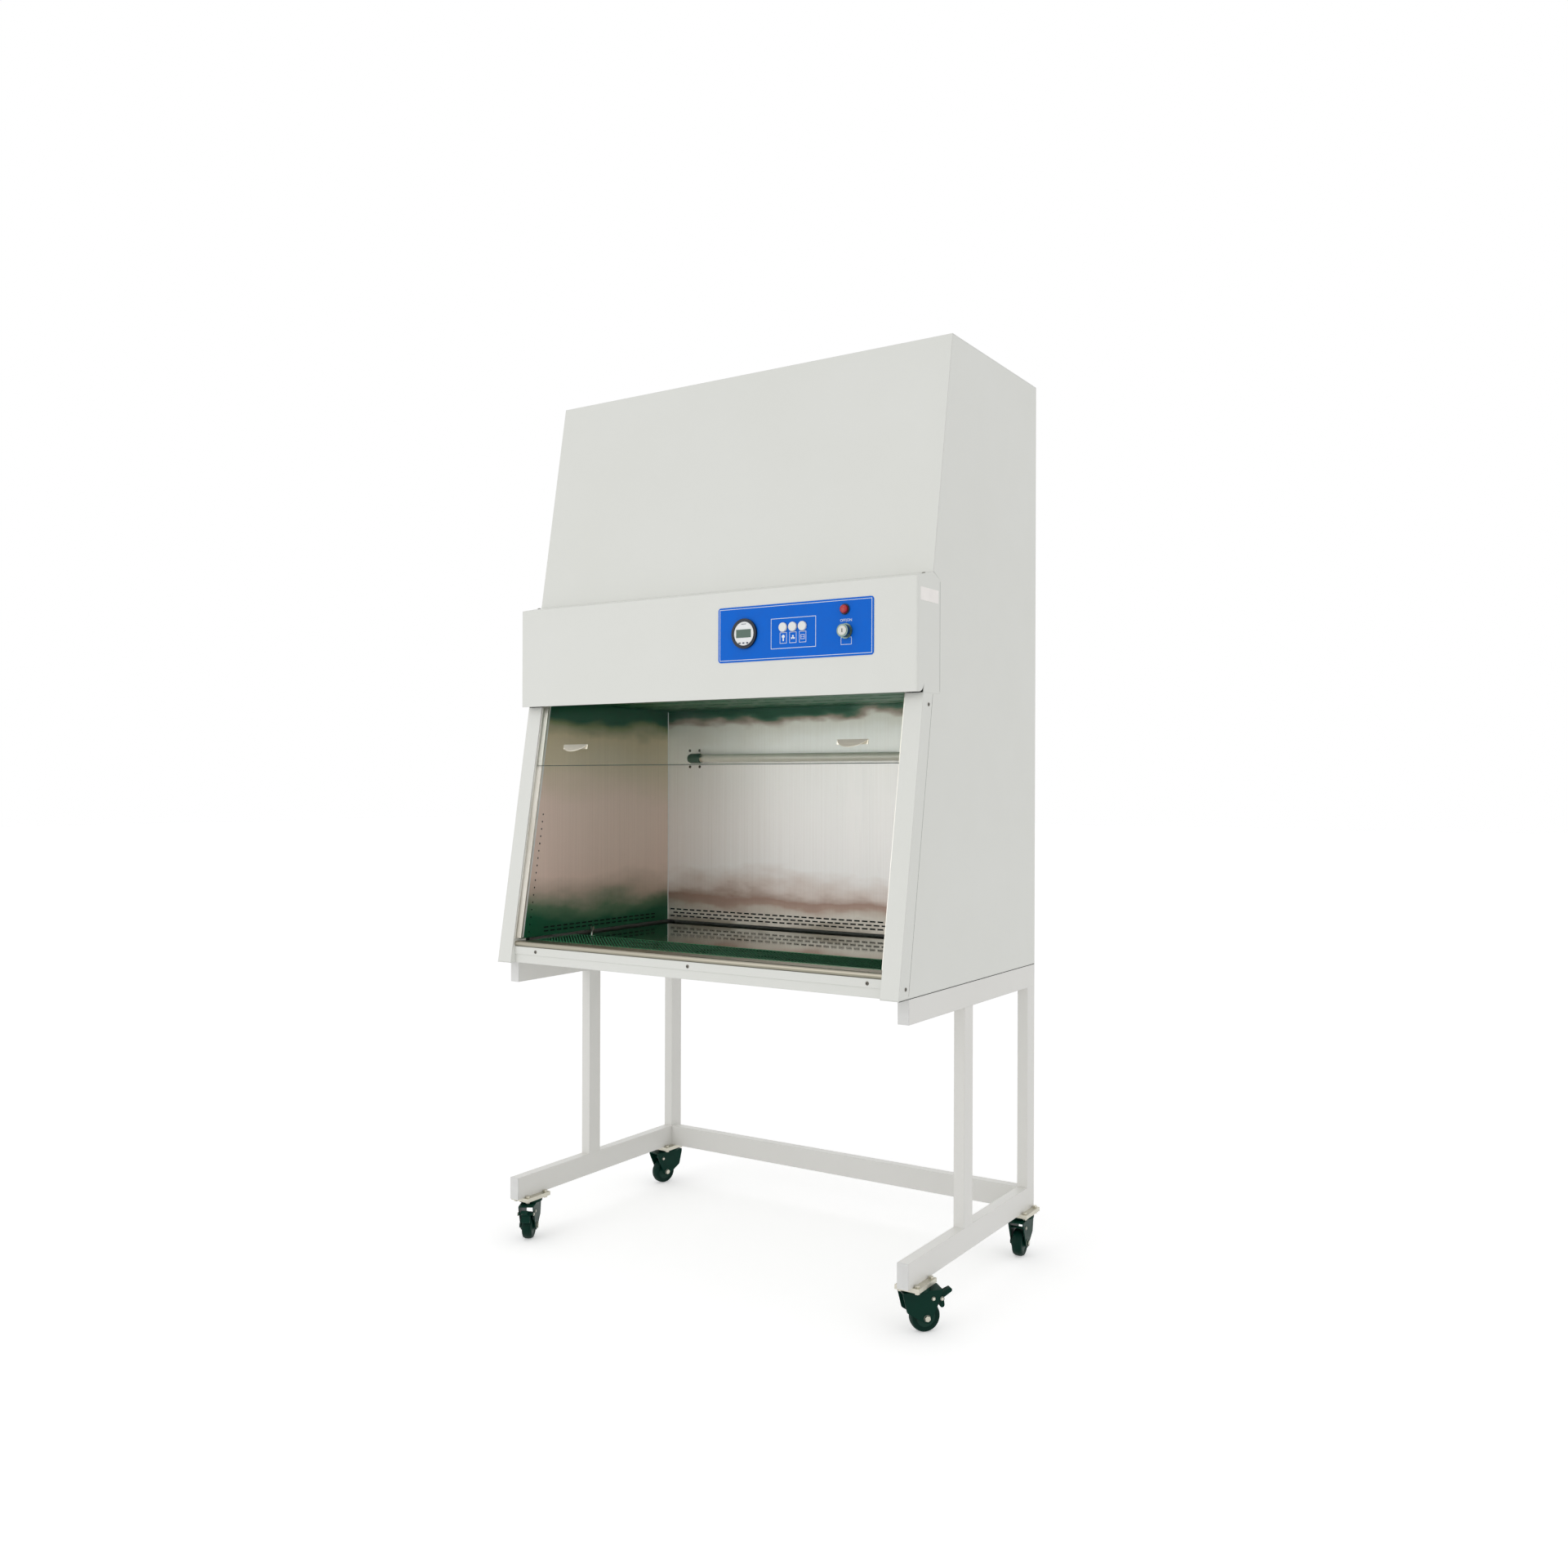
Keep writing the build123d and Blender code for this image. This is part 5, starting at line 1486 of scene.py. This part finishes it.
@dataclass
class Stand:
    """Painted tube stand with capped ends."""

    finishes: Finishes

    def build(self, nodes: dict[str, bpy.types.Object]) -> None:
        """Dresses the stand.

        Args:
            nodes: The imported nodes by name.
        """
        dress(
            nodes,
            self.finishes.stand_paint,
            "stand_foot_rails",
            "stand_top_rails",
            "stand_posts",
            "stand_crossbar",
        )
        dress(nodes, self.finishes.end_cap, "stand_end_caps")


@dataclass(frozen=True)
class Castor:
    """One castor's place and the way its wheel trails."""

    name: str
    x: float
    y: float
    turn: float
    braked: bool

    def ahead(self) -> Vector:
        """Returns the direction in which the wheel trails."""
        angle = math.radians(self.turn)
        return Vector((math.cos(angle), math.sin(angle), 0))

    def across(self) -> Vector:
        """Returns the direction of the axle."""
        angle = math.radians(self.turn)
        return Vector((math.sin(angle), -math.cos(angle), 0))

    def point(self, along: float, height: float) -> Vector:
        """Returns a point in the castor's middle plane.

        Args:
            along: Distance behind the swivel axis.
            height: Height above the floor.

        Returns:
            The point, in mm.
        """
        return Vector((self.x, self.y, height)) + self.ahead() * along


@dataclass
class Castors:
    """Swivel castors: enamelled forks, dark wheels and bright fasteners."""

    finishes: Finishes
    trail: float = 22.0
    radius: float = 37.5
    cheek: float = 22.0
    castors: tuple[Castor, ...] = (
        Castor("front_left", -635.0, inward(118), -58.0, True),
        Castor("front_right", 635.0, inward(118), 48.0, True),
        Castor("rear_left", -635.0, inward(754), -103.0, False),
        Castor("rear_right", 635.0, inward(754), -83.0, False),
    )

    def build(self, nodes: dict[str, bpy.types.Object]) -> None:
        """Dresses the castors and adds their turned wheels and fasteners.

        Args:
            nodes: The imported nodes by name.
        """
        dress(nodes, self.finishes.zinc, "castor_plates", "castor_pads", "castor_bolts")
        for castor in self.castors:
            dress(nodes, self.finishes.enamel, f"castor_fork_{castor.name}")
            if castor.braked:
                dress(nodes, self.finishes.enamel, f"brake_pedal_{castor.name}")
            self.add_wheel(castor)
            self.add_nuts(castor)

    def add_wheel(self, castor: Castor) -> None:
        """Replaces a wheel by a turned tyre and hub.

        Args:
            castor: The castor that it belongs to.
        """
        middle = castor.point(self.trail, self.radius)
        across = castor.across()
        tyre = Shape()
        tyre.lathe(
            [(24.0, -13.0), (30.0, -14.6), (34.5, -13.0), (36.9, -8.0), (37.5, -3.0),
             (37.5, 3.0), (36.9, 8.0), (34.5, 13.0), (30.0, 14.6), (24.0, 13.0)],
            middle, across, 56,
        )
        body = f"wheel_{castor.name}"
        made = tyre.piece(f"tyre_{castor.name}", self.finishes.tyre, body, 40)
        hub = Shape()
        hub.lathe(
            [(5.1, -16.5), (10.0, -16.5), (12.0, -15.0), (19.0, -11.5), (24.4, -12.5),
             (24.4, 12.5), (19.0, 11.5), (12.0, 15.0), (10.0, 16.5), (5.1, 16.5), (5.1, -16.5)],
            middle, across, 48,
        )
        core = hub.piece(f"hub_{castor.name}", self.finishes.hub, body, 40)
        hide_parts(f"castor_wheel_{castor.name}")
        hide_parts(f"castor_wheel_{castor.name}")

    def add_nuts(self, castor: Castor) -> None:
        """Adds bright caps over the axle's ends and the rivets.

        Args:
            castor: The castor that they belong to.
        """
        bright = Shape()
        dome = [(5.3, 0.0), (5.3, 0.9), (4.2, 1.9), (2.2, 2.4), (0.0, 2.5)]
        for side in (-1, 1):
            out = castor.across() * side
            axle = castor.point(self.trail, self.radius) + out * self.cheek
            bright.drum(axle, out, 8.4, 1.2, 28, edge=0.3)
            bright.drum(axle + out * 1.2, out, 7.6, 3.6, 6, edge=0.5)
            spots = [(38.0, 83.0)]
            if castor.braked:
                spots.append((60.0, 81.0))
            for along, height in spots:
                rivet = castor.point(along, height) + out * self.cheek
                bright.lathe(dome, rivet, out, 22)
        bright.piece(
            f"castor_fasteners_{castor.name}",
            self.finishes.zinc,
            f"castor_{castor.name}",
        )


# ------------------------------------------------------------------------ the studio
@dataclass
class Studio:
    """Camera, pale floor and plain soft light."""

    place: Point = (2.12718, -3.08457, 1.3115)
    yaw: float = 0.557
    roll: float = 0.003
    lens: float = 30.2115
    shift: tuple[float, float] = (-0.0280, 0.0016)
    floor_glow: float = 0.34
    world_strength: float = 0.78

    def build(self) -> None:
        """Sets up camera, floor, lamps and world."""
        self.set_camera()
        self.lay_floor()
        self.light()
        bpy.context.scene.view_settings.view_transform = "Standard"

    def set_camera(self) -> None:
        """Adds the camera."""
        data = bpy.data.cameras.new("studio_camera")
        data.lens = self.lens
        data.sensor_width = 36.0
        data.shift_x, data.shift_y = self.shift
        data.clip_start = 0.05
        data.clip_end = 100.0
        camera = bpy.data.objects.new("studio_camera", data)
        turn = (
            Matrix.Rotation(self.yaw, 4, "Z")
            @ Matrix.Rotation(math.pi / 2, 4, "X")
            @ Matrix.Rotation(self.roll, 4, "Z")
        )
        camera.matrix_world = Matrix.Translation(self.place) @ turn
        bpy.context.scene.collection.objects.link(camera)
        bpy.context.scene.camera = camera

    def pale_surface(self) -> bpy.types.Material:
        """Returns the floor's material: pale, brighter for what the eye sees."""
        recipe = Recipe("studio_floor")
        recipe.constants(Base_Color=(0.86, 0.86, 0.86), Roughness=0.9)
        recipe.shader.inputs["Emission Color"].default_value = (1.0, 1.0, 1.0, 1.0)
        seen = any_ray(recipe.tree, "Is Camera Ray", "Is Transmission Ray", "Is Glossy Ray")
        glow = recipe.maths("MULTIPLY", seen, self.floor_glow)
        recipe.link(glow, recipe.shader.inputs["Emission Strength"])
        return recipe.material

    def lay_floor(self) -> None:
        """Adds the floor as one large sheet."""
        data = bpy.data.meshes.new("studio_floor")
        sheet = bmesh.new()
        bmesh.ops.create_grid(sheet, x_segments=1, y_segments=1, size=40.0)
        sheet.to_mesh(data)
        sheet.free()
        data.materials.append(self.pale_surface())
        floor = bpy.data.objects.new("studio_floor", data)
        bpy.context.scene.collection.objects.link(floor)

    def lamp(self, name: str, place: Point, aim: Point, size: float, power: float) -> None:
        """Adds one soft area lamp.

        Args:
            name: The lamp's name.
            place: Where it hangs.
            aim: The point that it faces.
            size: Its side.
            power: Its power in watts.
        """
        data = bpy.data.lights.new(name, "AREA")
        data.shape = "SQUARE"
        data.size = size
        data.energy = power
        lamp = bpy.data.objects.new(name, data)
        lamp.location = place
        lamp.rotation_euler = (Vector(aim) - Vector(place)).to_track_quat("-Z", "Y").to_euler()
        bpy.context.scene.collection.objects.link(lamp)

    def light(self) -> None:
        """Adds the world's light and the lamps."""
        world = bpy.data.worlds.new("studio_world")
        bpy.context.scene.world = world
        world.use_nodes = True
        tree = world.node_tree
        sky = tree.nodes["Background"]
        sky.inputs["Color"].default_value = (1.0, 1.0, 1.0, 1.0)
        sky.inputs["Strength"].default_value = self.world_strength
        bright = tree.nodes.new("ShaderNodeBackground")
        bright.inputs["Color"].default_value = (1.0, 1.0, 1.0, 1.0)
        bright.inputs["Strength"].default_value = 1.0
        seen = any_ray(tree, "Is Camera Ray", "Is Glossy Ray", "Is Transmission Ray")
        either = tree.nodes.new("ShaderNodeMixShader")
        tree.links.new(seen, either.inputs["Fac"])
        tree.links.new(sky.outputs["Background"], either.inputs[1])
        tree.links.new(bright.outputs["Background"], either.inputs[2])
        tree.links.new(either.outputs["Shader"], tree.nodes["World Output"].inputs["Surface"])
        self.lamp("key_lamp", (-1.7, -5.3, 4.6), (0.0, 0.0, 1.4), 2.2, 15.0)
        self.lamp("front_lamp", (-1.5, -3.8, 1.5), (0.0, 0.3, 1.3), 2.6, 19.0)
        self.lamp("fill_lamp", (5.0, -1.6, 3.4), (0.0, 0.0, 1.2), 3.0, 12.0)


def main() -> None:
    """Builds and dresses the whole cabinet."""
    logging.basicConfig(level=logging.INFO, format="%(message)s")
    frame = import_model()
    nodes = frame["nodes"]
    finishes = Finishes()
    for assembly in (
        Shell(finishes),
        ControlPanel(finishes),
        Chamber(finishes),
        AirPath(finishes),
        Stand(finishes),
        Castors(finishes),
    ):
        assembly.build(nodes)
        LOG.info("built %s", type(assembly).__name__)
    Studio().build()


if __name__ == "__main__":
    main()
